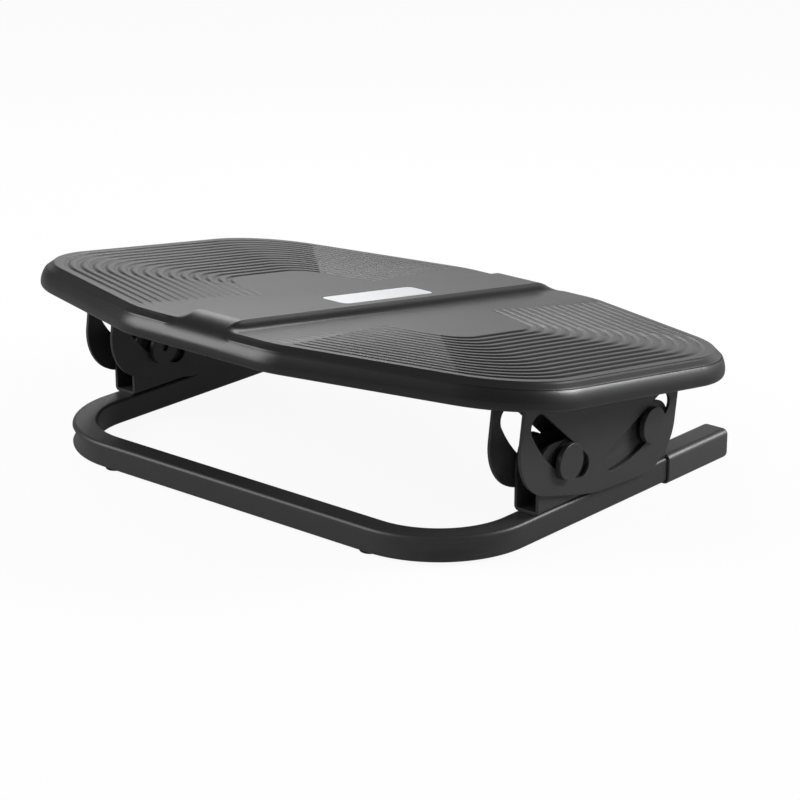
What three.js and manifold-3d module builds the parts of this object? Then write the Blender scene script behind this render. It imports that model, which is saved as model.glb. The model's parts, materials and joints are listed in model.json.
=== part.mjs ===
// Tilting under desk footrest: a ribbed tray that rocks in the arc slots of two folded brackets.
// Millimetres and degrees, +X to the right, +Y to the rear, +Z up, standing on the floor at zero.
import * as THREE from 'three';
import { mergeVertices } from 'three/addons/utils/BufferGeometryUtils.js';
import Module from 'manifold-3d';

const wasm = await Module();
wasm.setup();

// Driving dimensions of the base. Its legs stand a little way in from the sides of the tray.
const legInset = 43.6;
const baseDepth = 336.4;
const tubeSide = 20;
const tubeWall = 1.5;
const bendRadius = 70;
const footProud = 2;
const channelLength = 157;

// Driving dimensions of the rocker. The slots are arcs about the tilt axis above the tray.
const pinSpacing = 102;
const pinSpreadAngle = 64;
const pinHeight = 58.4;
const axisSetback = 173.2;
const tiltTravel = 20;
const restTilt = 8.5;
const sheet = 2.5;

// Driving dimensions of the tray, taken to the groove line that runs round its foot zones.
const trayHalfWidth = 248.5;
const trayHalfDepth = 195.5;
const traySideHalfDepth = 129.5;
const trayEndHalfWidth = 68;
const trayDrop = 23.8;
const trayForward = 1.2;

// Clearances.
const fit = 0.3;
const boltClearance = 0.3;
const cutOverrun = 5;
const weld = 0.001;

// Sizes that follow from the driving dimensions.
const legX = trayHalfWidth - legInset;
const slotRadius = pinSpacing / 2 / Math.sin(radians(pinSpreadAngle / 2));
const axisHeight = pinHeight + slotRadius * Math.cos(radians(pinSpreadAngle / 2));
const frontY = -axisSetback;
const rearY = baseDepth - axisSetback;
const tubeTop = footProud + tubeSide;
const sides = [{ name: 'left', sign: -1 }, { name: 'right', sign: 1 }];
const ends = [{ name: 'front', sign: -1 }, { name: 'rear', sign: 1 }];

const finishes = {
  paintedSteel: finish(0x1d1e1f, 0.42, 0.25),
  moulded: finish(0x242526, 0.5, 0),
  sleevePlastic: finish(0x2c2d2e, 0.55, 0),
  rubber: finish(0x151515, 0.85, 0),
  nylon: finish(0x101010, 0.6, 0),
  zinc: finish(0x8c8f92, 0.35, 1),
  silver: finish(0xc9cbcd, 0.35, 0.6),
};

function finish(color, roughness, metalness) {
  return new THREE.MeshStandardMaterial({ color, roughness, metalness });
}

function radians(degrees) {
  return THREE.MathUtils.degToRad(degrees);
}

function mix(from, to, share) {
  return THREE.MathUtils.lerp(from, to, share);
}

// A closed outline whose corners are rounded. Each corner is { x, y, radius, steps }.
function roundedOutline(corners) {
  const outline = [];
  corners.forEach((corner, index) => {
    const here = new THREE.Vector2(corner.x, corner.y);
    if (!corner.radius) {
      outline.push(here);
      return;
    }
    const before = corners[(index + corners.length - 1) % corners.length];
    const after = corners[(index + 1) % corners.length];
    const back = new THREE.Vector2(before.x, before.y).sub(here).normalize();
    const ahead = new THREE.Vector2(after.x, after.y).sub(here).normalize();
    const half = Math.acos(THREE.MathUtils.clamp(back.dot(ahead), -1, 1)) / 2;
    const reach = corner.radius / Math.tan(half);
    const bisector = back.clone().add(ahead).normalize();
    const straight = half > Math.PI / 2 - weld;
    const centre = here.clone().addScaledVector(bisector, straight ? 0 : corner.radius / Math.sin(half));
    const first = here.clone().addScaledVector(back, reach).sub(centre);
    const turn = Math.sign(ahead.cross(back)) * (Math.PI - 2 * half);
    for (let step = 0; step <= corner.steps; step += 1) {
      const spoke = first.clone().rotateAround(new THREE.Vector2(), turn * step / corner.steps);
      outline.push(straight ? here.clone() : spoke.add(centre));
    }
  });
  return outline;
}

function roundedBox(halfX, halfY, radius, steps) {
  return roundedOutline([
    { x: -halfX, y: -halfY, radius, steps },
    { x: halfX, y: -halfY, radius, steps },
    { x: halfX, y: halfY, radius, steps },
    { x: -halfX, y: halfY, radius, steps },
  ]);
}

// A surface is a list of triangles. Patches share their border points, and are welded at the end.
function addTriangle(triangles, a, b, c) {
  const flat = a.distanceTo(b) < weld || b.distanceTo(c) < weld || c.distanceTo(a) < weld;
  if (!flat) triangles.push(a, b, c);
}

function addPatch(triangles, rows) {
  for (let row = 0; row + 1 < rows.length; row += 1) {
    const near = rows[row];
    const far = rows[row + 1];
    for (let column = 0; column + 1 < near.length; column += 1) {
      addTriangle(triangles, near[column], near[column + 1], far[column + 1]);
      addTriangle(triangles, near[column], far[column + 1], far[column]);
    }
  }
}

function addFan(triangles, loop, facing) {
  const centre = loop.reduce((sum, point) => sum.add(point), new THREE.Vector3()).divideScalar(loop.length);
  loop.forEach((point, index) => {
    const next = loop[(index + 1) % loop.length];
    if (facing > 0) addTriangle(triangles, centre, point, next);
    else addTriangle(triangles, centre, next, point);
  });
}

// A level face inside an outline that may turn in on itself.
function addLevelFace(triangles, loop) {
  const contour = loop.map((point) => new THREE.Vector2(point.x, point.y));
  for (const [a, b, c] of THREE.ShapeUtils.triangulateShape(contour, [])) {
    addTriangle(triangles, loop[a], loop[b], loop[c]);
  }
}

function closed(loop) {
  return [...loop, loop[0]];
}

function weldedGeometry(triangles) {
  const soup = new THREE.BufferGeometry().setFromPoints(triangles);
  return mergeVertices(soup, weld);
}

function toSolid(geometry) {
  const bare = new THREE.BufferGeometry();
  bare.setAttribute('position', geometry.getAttribute('position'));
  bare.setIndex(geometry.getIndex());
  const merged = mergeVertices(bare, weld);
  const corners = merged.getIndex().array;
  const kept = [];
  for (let first = 0; first < corners.length; first += 3) {
    const [a, b, c] = corners.slice(first, first + 3);
    if (a !== b && b !== c && c !== a) kept.push(a, b, c);
  }
  const vertProperties = new Float32Array(merged.getAttribute('position').array);
  return new wasm.Manifold(new wasm.Mesh({ numProp: 3, vertProperties, triVerts: new Uint32Array(kept) }));
}

function toGeometry(solid) {
  const { vertProperties, triVerts } = solid.getMesh();
  const geometry = new THREE.BufferGeometry();
  geometry.setAttribute('position', new THREE.BufferAttribute(vertProperties, 3));
  geometry.setIndex(new THREE.BufferAttribute(triVerts, 1));
  return geometry;
}

// An outline in the plane of Y and Z, extruded along X and centred on zero.
function extrudeAlongX(outline, width) {
  const geometry = extrudeUp(outline, -width / 2, width);
  geometry.rotateY(Math.PI / 2);
  geometry.rotateX(Math.PI / 2);
  return geometry;
}

// An outline in the plane of X and Z, extruded along Y and centred on zero.
function extrudeAlongY(outline, length) {
  const geometry = extrudeUp(outline, -length / 2, length);
  geometry.rotateX(Math.PI / 2);
  return geometry;
}

// An outline in the plane of X and Y, extruded up from a level.
function extrudeUp(outline, level, height) {
  const shape = new THREE.Shape(outline);
  return new THREE.ExtrudeGeometry(shape, { depth: height, bevelEnabled: false }).translate(0, 0, level);
}

function revolve(profile, segments) {
  return new THREE.LatheGeometry(profile.map(([x, y]) => new THREE.Vector2(x, y)), segments);
}

function addPiece(parent, name, geometry, material, position = [0, 0, 0]) {
  const piece = new THREE.Mesh(geometry, material);
  piece.name = name;
  piece.position.set(...position);
  parent.add(piece);
  return piece;
}

// Base tube: one square tube bent to a U that lies flat, its legs pointing to the rear.
const tubeCornerRadius = 3;
const tubeCornerSteps = 2;
const bendDent = 2.4;
const bendSteps = 7;
const dentColumns = 4;

function tubeSection(inset) {
  const half = tubeSide / 2 - inset;
  const radius = tubeCornerRadius - inset;
  const outline = roundedBox(half, half, radius, tubeCornerSteps);
  const wallStart = 2 * (tubeCornerSteps + 1) - 1;
  const from = outline[wallStart];
  const to = outline[wallStart + 1];
  const wall = [];
  for (let column = 1; column < dentColumns; column += 1) {
    wall.push(from.clone().lerp(to, column / dentColumns));
  }
  outline.splice(wallStart + 1, 0, ...wall);
  return { outline, half, radius };
}

// Stations along the middle of the tube: where it is, which way is outward, and how far the bend has come.
function tubeStations() {
  const centreX = legX - bendRadius;
  const centreY = frontY + tubeSide / 2 + bendRadius;
  const stations = [];
  stations.push({ x: -legX, y: rearY - sleeveEndWall - fit, outX: -1, outY: 0, dent: 0 });
  for (const side of sides) {
    for (let step = 0; step <= bendSteps; step += 1) {
      const angle = (side.sign < 0 ? Math.PI : Math.PI * 3 / 2) + Math.PI / 2 * step / bendSteps;
      const outX = Math.cos(angle);
      const outY = Math.sin(angle);
      const dent = bendDent * Math.sin(Math.PI * step / bendSteps) ** 2;
      const x = side.sign * centreX + bendRadius * outX;
      stations.push({ x, y: centreY + bendRadius * outY, outX, outY, dent });
    }
  }
  stations.push({ x: legX, y: rearY - sleeveEndWall - fit, outX: 1, outY: 0, dent: 0 });
  return stations;
}

function tubeRing(station, section) {
  const flat = section.half - section.radius;
  return section.outline.map(({ x, y }) => {
    const onWall = x > section.half - weld && Math.abs(y) < flat;
    const out = onWall ? x - station.dent * (1 - (y / flat) ** 2) : x;
    return new THREE.Vector3(station.x + station.outX * out, station.y + station.outY * out, y);
  });
}

function baseTubeGeometry() {
  const stations = tubeStations();
  const outer = tubeSection(0);
  const inner = tubeSection(tubeWall);
  const rows = stations.map((station) => closed(tubeRing(station, outer)));
  rows.push(...stations.map((station) => closed(tubeRing(station, inner))).reverse());
  rows.push(rows[0]);
  const triangles = [];
  addPatch(triangles, rows.reverse());
  let tube = toSolid(weldedGeometry(triangles));
  for (const side of sides) {
    const bore = footStemRadius + fit;
    const drill = new THREE.CylinderGeometry(bore, bore, tubeSide, footSegments);
    drill.rotateX(Math.PI / 2);
    drill.translate(side.sign * footX, frontY + tubeSide / 2, -tubeSide / 2);
    tube = tube.subtract(toSolid(drill));
  }
  return toGeometry(tube);
}

// Leg sleeves: moulded boots over the open ends of the tube, up to the channels. They stand on the floor.
const sleeveGap = 4;
const sleeveLength = rearY - channelLength / 2 - sleeveGap;
const sleeveWall = footProud - fit;
const sleeveEndWall = 2.5;
const sleeveCornerRadius = 4;
const sleeveEdgeRadius = 3;
const sleeveCornerSteps = 3;
const sleeveMouthChamfer = 0.6;

function sleeveRing(half, radius, y) {
  const outline = roundedBox(half, half, radius, sleeveCornerSteps);
  return closed(outline.map((point) => new THREE.Vector3(point.x, y, point.y)));
}

function sleeveGeometry() {
  const bore = tubeSide / 2 + fit;
  const boreRadius = tubeCornerRadius + fit;
  const half = bore + sleeveWall;
  const mouthHalf = half - sleeveMouthChamfer;
  const rows = [
    sleeveRing(bore, boreRadius, sleeveLength - sleeveEndWall),
    sleeveRing(bore, boreRadius, 0),
    sleeveRing(mouthHalf, sleeveCornerRadius - sleeveMouthChamfer, 0),
    sleeveRing(half, sleeveCornerRadius, sleeveMouthChamfer),
  ];
  for (let step = 0; step <= sleeveCornerSteps; step += 1) {
    const angle = Math.PI / 2 * step / sleeveCornerSteps;
    const inset = sleeveEdgeRadius * (1 - Math.cos(angle));
    const y = sleeveLength - sleeveEdgeRadius * (1 - Math.sin(angle));
    rows.push(sleeveRing(half - inset, sleeveCornerRadius - inset, y));
  }
  const triangles = [];
  addFan(triangles, rows[0].slice(0, -1), 1);
  addFan(triangles, rows[rows.length - 1].slice(0, -1), -1);
  addPatch(triangles, rows.reverse());
  return weldedGeometry(triangles);
}

// Front feet: domed rubber plugs pressed into the underside of the front bar, just inside its bends.
const footInset = 5;
const footX = legX - bendRadius - footInset;
const footRadius = 8;
const footFlatRadius = 6.8;
const footStemRadius = 3;
const footStemLength = 4;
const footBarbRadius = 3.6;
const footSegments = 12;

function footGeometry() {
  const shoulder = footProud - fit;
  return revolve([
    [0, 0],
    [footFlatRadius, 0],
    [(footRadius + footFlatRadius) / 2, shoulder / 4],
    [footRadius, shoulder],
    [footStemRadius, shoulder],
    [footStemRadius, footProud + tubeWall + fit],
    [footBarbRadius, footProud + tubeWall + 2 * fit],
    [footStemRadius, footProud + footStemLength],
    [0, footProud + footStemLength],
  ], footSegments);
}

// Lower channels: folded sheet, open above, welded upright on each leg.
const channelWidth = 22;
const channelAbovePin = 14.6;
const channelFoldRadius = 4;
const channelTopRadius = 16;
const foldSteps = 3;
const channelCornerSteps = 6;
const holeSegments = 16;
const shankRadius = 6;

function channelGeometry() {
  const height = pinHeight + channelAbovePin - tubeTop - fit;
  const half = channelWidth / 2;
  const fold = { radius: channelFoldRadius, steps: foldSteps };
  const innerFold = { radius: channelFoldRadius - sheet, steps: foldSteps };
  const section = roundedOutline([
    { x: -half, y: 0, ...fold },
    { x: half, y: 0, ...fold },
    { x: half, y: height },
    { x: half - sheet, y: height },
    { x: half - sheet, y: sheet, ...innerFold },
    { x: -half + sheet, y: sheet, ...innerFold },
    { x: -half + sheet, y: height },
    { x: -half, y: height },
  ]);
  const top = { y: height, radius: channelTopRadius, steps: channelCornerSteps };
  const outline = roundedOutline([
    { x: -channelLength / 2, y: 0 },
    { x: channelLength / 2, y: 0 },
    { x: channelLength / 2, ...top },
    { x: -channelLength / 2, ...top },
  ]);
  const folded = toSolid(extrudeAlongY(section, channelLength + cutOverrun));
  let channel = folded.intersect(toSolid(extrudeAlongX(outline, channelWidth + cutOverrun)));
  for (const end of ends) {
    const bore = shankRadius + boltClearance;
    const drill = new THREE.CylinderGeometry(bore, bore, channelWidth + cutOverrun, holeSegments);
    drill.rotateZ(Math.PI / 2);
    drill.translate(0, end.sign * pinSpacing / 2, pinHeight - tubeTop - fit);
    channel = channel.subtract(toSolid(drill));
  }
  return toGeometry(channel);
}

// Rocker brackets: folded sheet, open below, straddling the channels. Each wall has two arc slots.
const bracketWidth = 30;
const bracketHalfLength = 95;
const bracketTopDrop = 33;
const bracketCornerDrop = 108;
const bracketBottomDrop = 118.4;
const bracketCornerRadius = 38.5;
const bracketBottomRadius = 200;
const bracketShoulderRadius = 5;
const bracketFoldRadius = 5;
const bracketCornerSteps = 6;
const bracketBottomSteps = 4;
const slotWidth = 19.2;
const slotCapSteps = 6;
const slotArcSteps = 7;

function slotOutline(end) {
  const middle = pinSpreadAngle / 2;
  const inner = radians(end.sign * (middle - tiltTravel));
  const outer = radians(end.sign * (middle + tiltTravel));
  const outline = [];
  const place = (radius, angle) => new THREE.Vector2(radius * Math.sin(angle), -radius * Math.cos(angle));
  const edges = [[slotRadius + slotWidth / 2, inner, outer], [slotRadius - slotWidth / 2, outer, inner]];
  for (const [radius, from, to] of edges) {
    for (let step = 0; step <= slotArcSteps; step += 1) {
      outline.push(place(radius, mix(from, to, step / slotArcSteps)));
    }
    const centre = place(slotRadius, to);
    const start = outline[outline.length - 1].clone();
    const turn = end.sign * Math.PI;
    for (let step = 1; step < slotCapSteps; step += 1) {
      outline.push(start.clone().rotateAround(centre, turn * step / slotCapSteps));
    }
  }
  return end.sign > 0 ? outline : outline.reverse();
}

function bracketGeometry() {
  const half = bracketWidth / 2;
  const foot = -bracketBottomDrop - cutOverrun;
  const top = -bracketTopDrop;
  const fold = { radius: bracketFoldRadius, steps: foldSteps };
  const innerFold = { radius: bracketFoldRadius - sheet, steps: foldSteps };
  const section = roundedOutline([
    { x: -half, y: foot },
    { x: -half + sheet, y: foot },
    { x: -half + sheet, y: top - sheet, ...innerFold },
    { x: half - sheet, y: top - sheet, ...innerFold },
    { x: half - sheet, y: foot },
    { x: half, y: foot },
    { x: half, y: top, ...fold },
    { x: -half, y: top, ...fold },
  ]);
  const corner = { y: -bracketCornerDrop, radius: bracketCornerRadius, steps: bracketCornerSteps };
  const shoulder = { y: top, radius: bracketShoulderRadius, steps: foldSteps };
  const outline = roundedOutline([
    { x: -bracketHalfLength, ...corner },
    { x: 0, y: -bracketBottomDrop, radius: bracketBottomRadius, steps: bracketBottomSteps },
    { x: bracketHalfLength, ...corner },
    { x: bracketHalfLength, ...shoulder },
    { x: -bracketHalfLength, ...shoulder },
  ]);
  const folded = toSolid(extrudeAlongY(section, 2 * bracketHalfLength + cutOverrun));
  let bracket = folded.intersect(toSolid(extrudeAlongX(outline, bracketWidth + cutOverrun)));
  for (const end of ends) {
    bracket = bracket.subtract(toSolid(extrudeAlongX(slotOutline(end), bracketWidth + cutOverrun)));
  }
  for (const y of trayScrewPlaces()) {
    const bore = trayScrewRadius + boltClearance;
    const drill = new THREE.CylinderGeometry(bore, bore, sheet + cutOverrun, trayScrewSegments);
    drill.rotateX(Math.PI / 2);
    drill.translate(0, y, top);
    bracket = bracket.subtract(toSolid(drill));
  }
  return toGeometry(bracket);
}

// Pins: a barrel nut from outside and a socket screw from inside, each with a round cap over the slot.
const capRadius = 14;
const capThickness = 4;
const capEdge = 0.8;
const capStandoff = 0.8;
const pinSegments = 16;
const screwRadius = 4;
const screwReach = 18;
const socketAcross = 6;
const socketDepth = 2.6;
const hexSides = 6;

function barrelGeometry() {
  const capBase = bracketWidth / 2 + capStandoff;
  const capTop = capBase + capThickness;
  const tip = -bracketWidth / 2;
  const boreEnd = tip + screwReach + boltClearance;
  return revolve([
    [0, boreEnd],
    [screwRadius + boltClearance, boreEnd],
    [screwRadius + boltClearance, tip],
    [shankRadius, tip],
    [shankRadius, capBase],
    [capRadius, capBase],
    [capRadius, capTop - capEdge],
    [capRadius - capEdge, capTop],
    [0, capTop],
  ], pinSegments);
}

function pinScrewGeometry() {
  const capBase = bracketWidth / 2 + capStandoff;
  const capTop = capBase + capThickness;
  const body = revolve([
    [0, bracketWidth / 2 - screwReach],
    [screwRadius, bracketWidth / 2 - screwReach],
    [screwRadius, capBase],
    [capRadius, capBase],
    [capRadius, capTop - capEdge],
    [capRadius - capEdge, capTop],
    [0, capTop],
  ], pinSegments);
  const socketRadius = socketAcross / 2 / Math.cos(Math.PI / hexSides);
  const socket = new THREE.CylinderGeometry(socketRadius, socketRadius, 2 * socketDepth, hexSides);
  socket.translate(0, capTop, 0);
  return toGeometry(toSolid(body).subtract(toSolid(socket)));
}

// Slot bushes: flanged nylon rings on the pins. The flange keeps bracket and channel apart.
const bushFlangeRadius = 13;
const bushSegments = 12;

function bushGeometry() {
  const bore = shankRadius + boltClearance;
  const barrel = slotWidth / 2 - fit;
  const wallOuter = bracketWidth / 2;
  const flangeInner = channelWidth / 2 + fit;
  const flangeOuter = wallOuter - sheet - fit;
  return revolve([
    [bore, flangeInner],
    [bushFlangeRadius, flangeInner],
    [bushFlangeRadius, flangeOuter],
    [barrel, flangeOuter],
    [barrel, wallOuter + fit],
    [bore, wallOuter + fit],
    [bore, flangeInner],
  ], bushSegments);
}

// Footrest tray: an outline with eight corners, and a raised band from front to rear between two foot zones.
const sideCornerRadius = 77;
const endCornerRadius = 60;
const sideCornerSteps = 4;
const endCornerSteps = 2;
const zoneRise = 5.4;
const bevelWidth = 4.4;
const bandRise = 11.5;
const bandHalfWidth = 22;
const bandFoot = 31;
const bandEndLength = 20;
const bandBlend = 22;
const bandCornerRadius = 12;
const zoneCornerRadius = 5;
const bandCornerSteps = 3;
const bandEndShares = [1, 0.8];
const bandWallShares = [[0.5, 0.02], [0.85, 0.14], [1, 1]];
const rimBulge = 8;
const rimFall = 6.5;
const rimSteps = 3;
const skirtDepth = 15;
const skirtWall = 3;
const skirtRoll = 4.5;
const skirtSteps = 2;
const plateWall = 3;
const plateShoulder = 4.5;
const plateStepWidth = 6;
const flatHalfWidth = 113;
const flatSideHalfDepth = 40;
const flatEndHalfWidth = 59;
const flatSlope = 20;
const flatCornerRadius = 22;
const flatEndRadius = 20;
const ribSteps = 15;
const grooveHalfShare = 0.3;
const ribDepth = 1.5;
const ribFadeStart = 40;
const ribFadeEnd = 50;

// Corners of the right half of the outline at a distance outside the groove line, seen from above.
function outlineCorners(distance, bandX, bandRadius) {
  const slope = Math.atan2(trayHalfDepth - traySideHalfDepth, trayHalfWidth - trayEndHalfWidth);
  const endX = trayEndHalfWidth + distance * Math.tan(slope / 2);
  const sideY = traySideHalfDepth + distance * Math.tan((Math.PI / 2 - slope) / 2);
  const endY = trayHalfDepth + distance;
  const sharp = { radius: 0, steps: 0 };
  return halfCorners([
    ...bandEndShares.map((share) => ({ x: bandX, y: trayHalfDepth - share * bandEndLength, ...sharp })),
    { x: bandX, y: endY, radius: bandRadius, steps: bandCornerSteps },
    { x: ribFadeStart, y: endY, ...sharp },
    { x: endX, y: endY, radius: endCornerRadius + distance, steps: endCornerSteps },
    { x: trayHalfWidth + distance, y: sideY, radius: sideCornerRadius + distance, steps: sideCornerSteps },
  ]);
}

// Corners of the right flat, in step with those of the outline where the grooves run.
function flatCorners() {
  const lineY = (x) => flatSideHalfDepth + (flatHalfWidth - x) * Math.tan(radians(flatSlope));
  return halfCorners([
    { x: ribFadeStart, y: lineY(ribFadeStart), radius: 0, steps: 0 },
    { x: flatEndHalfWidth, y: lineY(flatEndHalfWidth), radius: flatEndRadius, steps: endCornerSteps },
    { x: flatHalfWidth, y: flatSideHalfDepth, radius: flatCornerRadius, steps: sideCornerSteps },
  ]);
}

// The near corners run from the band to the side, and the far ones back again.
function halfCorners(quarter) {
  const near = quarter.map((corner) => ({ ...corner, y: -corner.y }));
  return [...near, ...quarter.slice().reverse()];
}

function mixCorners(from, to, share) {
  return from.map((corner, index) => ({
    x: mix(corner.x, to[index].x, share),
    y: mix(corner.y, to[index].y, share),
    radius: mix(corner.radius, to[index].radius, share),
    steps: corner.steps,
  }));
}

// One over the band, falling to zero where its ends have run out into the rim.
function bandShare(x) {
  return THREE.MathUtils.smoothstep(bandHalfWidth + bandBlend - Math.abs(x), 0, bandBlend);
}

// Height of the rim and of the band's ends above the groove line, at a distance outside that line.
function rimHeight(x, distance) {
  const across = THREE.MathUtils.clamp(distance / rimBulge, 0, 1);
  const ramp = 1 - THREE.MathUtils.smoothstep(distance, -bandEndLength, 0);
  return rimFall * (Math.sqrt(1 - across ** 2) - 1) + bandRise * ramp * bandShare(x);
}

// Rows of the zone, in rib pitches out from the flat: the middle and both edges of each groove.
function zoneSteps() {
  const steps = [0];
  for (let groove = 1; groove < ribSteps; groove += 1) {
    steps.push(groove - grooveHalfShare, groove, groove + grooveHalfShare);
  }
  return [...steps, ribSteps];
}

// One at the middle of each groove and zero on the ribs between them, fading out beside the band.
function grooveDepthShare(step, x) {
  const middle = Number.isInteger(step) && step > 0 && step < ribSteps;
  return middle ? THREE.MathUtils.smoothstep(Math.abs(x), ribFadeStart, ribFadeEnd) : 0;
}

function besideBand(x) {
  return Math.abs(x) < bandHalfWidth + bandCornerRadius + weld;
}

// The line at the foot of the zone's bevel. Beside the band it climbs to the band's top edge.
function grooveLine() {
  return roundedOutline(outlineCorners(0, bandHalfWidth, bandCornerRadius)).map(({ x, y }) => {
    const distance = besideBand(x) ? Math.min(Math.abs(y) - trayHalfDepth, 0) : 0;
    return new THREE.Vector3(x, y, rimHeight(x, distance));
  });
}

// Rows of the right foot zone, from the flat in its middle over the grooves and ribs to the zone's edge.
function zoneRows() {
  const edge = outlineCorners(-bevelWidth, bandFoot, zoneCornerRadius);
  const beside = bandEndShares.length + 1;
  return zoneSteps().map((step) => {
    const outline = roundedOutline(mixCorners(flatCorners(), edge.slice(beside, -beside), step / ribSteps));
    const level = (x) => zoneRise - ribDepth * grooveDepthShare(step, x);
    return outline.map(({ x, y }) => new THREE.Vector3(x, y, level(x)));
  });
}

// The whole edge of the right foot zone, then the rows of its bevel, which turns into the band's wall.
function zoneEdgeRows() {
  const outline = roundedOutline(outlineCorners(-bevelWidth, bandFoot, zoneCornerRadius));
  const edge = outline.map(({ x, y }) => new THREE.Vector3(x, y, zoneRise));
  const line = grooveLine();
  const rows = bandWallShares.map(([across, wallShare]) => edge.map((point, column) => {
    const { x, y, z } = line[column];
    const rise = mix(across, wallShare, bandShare(x));
    return new THREE.Vector3(mix(point.x, x, across), mix(point.y, y, across), mix(point.z, z, rise));
  }));
  return [edge, ...rows];
}

// The level part of the right foot zone: the flat, and the plain strip beside the band.
function zoneLevelLoop() {
  const rows = zoneRows();
  const edge = zoneEdgeRows()[0];
  const beside = bandEndShares.length + bandCornerSteps + 1;
  const nearEnds = rows.map((row) => row[0]).reverse();
  const farEnds = rows.map((row) => row[row.length - 1]);
  return [...edge.slice(-beside), ...edge.slice(0, beside), ...nearEnds, ...rows[0].slice(1, -1), ...farEnds];
}

// Columns of the groove line that the rim starts from. The others run along the band's side.
function rimColumns(row) {
  return row.slice(bandEndShares.length, -bandEndShares.length);
}

// The right half of the outline at a distance outside the groove line and at one height.
function rimRow(distance, height) {
  const outline = roundedOutline(outlineCorners(distance, bandHalfWidth, bandCornerRadius));
  return rimColumns(grooveLine()).map((start, column) => {
    const { x, y } = rimColumns(outline)[column];
    if (!besideBand(start.x)) return new THREE.Vector3(x, y, height);
    return new THREE.Vector3(start.x, Math.sign(start.y) * (trayHalfDepth + distance), height);
  });
}

// Rows from the groove line out over the rim, down the skirt, and back in under the plate.
function rimRows() {
  const start = rimColumns(grooveLine());
  const rows = [start];
  for (let step = 1; step <= rimSteps; step += 1) {
    const share = Math.sin(Math.PI / 2 * step / rimSteps);
    const outline = rimRow(rimBulge * share, 0);
    rows.push(outline.map((point, column) => {
      const { x, y } = start[column];
      if (!besideBand(x)) return point.setZ(rimHeight(x, rimBulge * share));
      point.y = mix(y, Math.sign(y) * (trayHalfDepth + rimBulge), share);
      return point.setZ(rimHeight(x, Math.abs(point.y) - trayHalfDepth));
    }));
  }
  for (let step = 0; step <= skirtSteps; step += 1) {
    const angle = Math.PI / 2 * step / skirtSteps;
    const distance = rimBulge - skirtRoll * (1 - Math.cos(angle));
    rows.push(rimRow(distance, skirtRoll * (1 - Math.sin(angle)) - skirtDepth));
  }
  rows.push(rimRow(skirtInside(), skirtWall / 2 - skirtDepth));
  rows.push(rimRow(skirtInside(), -plateShoulder));
  rows.push(rimRow(skirtInside() - plateStepWidth, plateUnderside()));
  return rows;
}

function skirtInside() {
  return rimBulge - skirtRoll - skirtWall / 2;
}

function plateUnderside() {
  return zoneRise - ribDepth - plateWall;
}

function turned(row) {
  return row.map((point) => new THREE.Vector3(-point.x, -point.y, point.z));
}

function trayShell() {
  const triangles = [];
  for (const half of [(row) => row, turned]) {
    addLevelFace(triangles, half(zoneLevelLoop()));
    addPatch(triangles, zoneRows().map(half).reverse());
    addPatch(triangles, zoneEdgeRows().map((row) => closed(half(row))).reverse());
  }
  const around = rimRows().map((row) => closed([...row, ...turned(row)]));
  addFan(triangles, around[around.length - 1].slice(0, -1), -1);
  addPatch(triangles, around.reverse());
  const line = grooveLine();
  const count = bandEndShares.length + 1;
  const bandSide = [...line.slice(0, count).reverse(), ...line.slice(-count).reverse()];
  addPatch(triangles, [bandSide, turned(bandSide).reverse()]);
  return toSolid(weldedGeometry(triangles));
}

// Underside of the tray: crossing ribs, rails on the bracket webs, and a boss for each screw.
const stiffenerWall = 2.4;
const stiffenerPitch = 48;
const railInset = 5;
const bossRadius = 5;
const bossSegments = 8;
const pocketInset = 4;
const pocketRadius = 5;
const pocketSteps = 3;
const plateGrip = 1;

function wallAlong(x, y, halfX, halfY, bottom) {
  const wall = extrudeUp(roundedBox(halfX, halfY, 0, 0), bottom, plateUnderside() + plateGrip - bottom);
  return toSolid(wall.translate(x, y, 0));
}

// Places of like ribs from the middle outward, as many as fit within a reach on each side.
function ribPlaces(reach) {
  const count = Math.floor(reach / stiffenerPitch);
  return Array.from({ length: 2 * count + 1 }, (_, index) => (index - count) * stiffenerPitch);
}

// The hollow of the tray from a level up, and just into its skirt and its plate.
function trayHollow(bottom) {
  const step = skirtInside() - plateStepWidth;
  const profile = [
    [skirtInside() + plateGrip, bottom],
    [skirtInside() + plateGrip, -plateShoulder],
    [step + plateGrip, plateUnderside()],
    [step, plateUnderside() + plateGrip],
  ];
  const rows = profile.map(([distance, height]) => {
    const half = rimRow(distance, height);
    return [...half, ...turned(half)];
  });
  const triangles = [];
  addFan(triangles, rows[0], -1);
  addFan(triangles, rows[rows.length - 1], 1);
  addPatch(triangles, rows.map(closed));
  return toSolid(weldedGeometry(triangles));
}

// Places of the tray screws, seen from the middle of the tray.
function bossPlaces() {
  return trayScrewPlaces().map((y) => y + trayForward);
}

function stiffeners() {
  const bottom = trayDrop - bracketTopDrop + fit;
  const top = plateUnderside() + plateGrip;
  const half = stiffenerWall / 2;
  const walls = [
    ...ribPlaces(trayHalfDepth - stiffenerPitch / 2).map((y) => wallAlong(0, y, trayHalfWidth, half, bottom)),
    ...ribPlaces(legX - bracketWidth / 2).map((x) => wallAlong(x, 0, half, trayHalfDepth, bottom)),
  ];
  for (const side of sides) {
    for (const edge of [-1, 1]) {
      const x = side.sign * legX + edge * (bracketWidth / 2 - railInset);
      walls.push(wallAlong(x, trayForward, half, bracketHalfLength, bottom));
    }
    for (const y of bossPlaces()) {
      const boss = new THREE.CylinderGeometry(bossRadius, bossRadius, top - bottom, bossSegments);
      boss.rotateX(Math.PI / 2);
      walls.push(toSolid(boss.translate(side.sign * legX, y, (bottom + top) / 2)));
    }
  }
  return walls.reduce((joined, wall) => joined.add(wall)).intersect(trayHollow(bottom));
}

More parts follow.
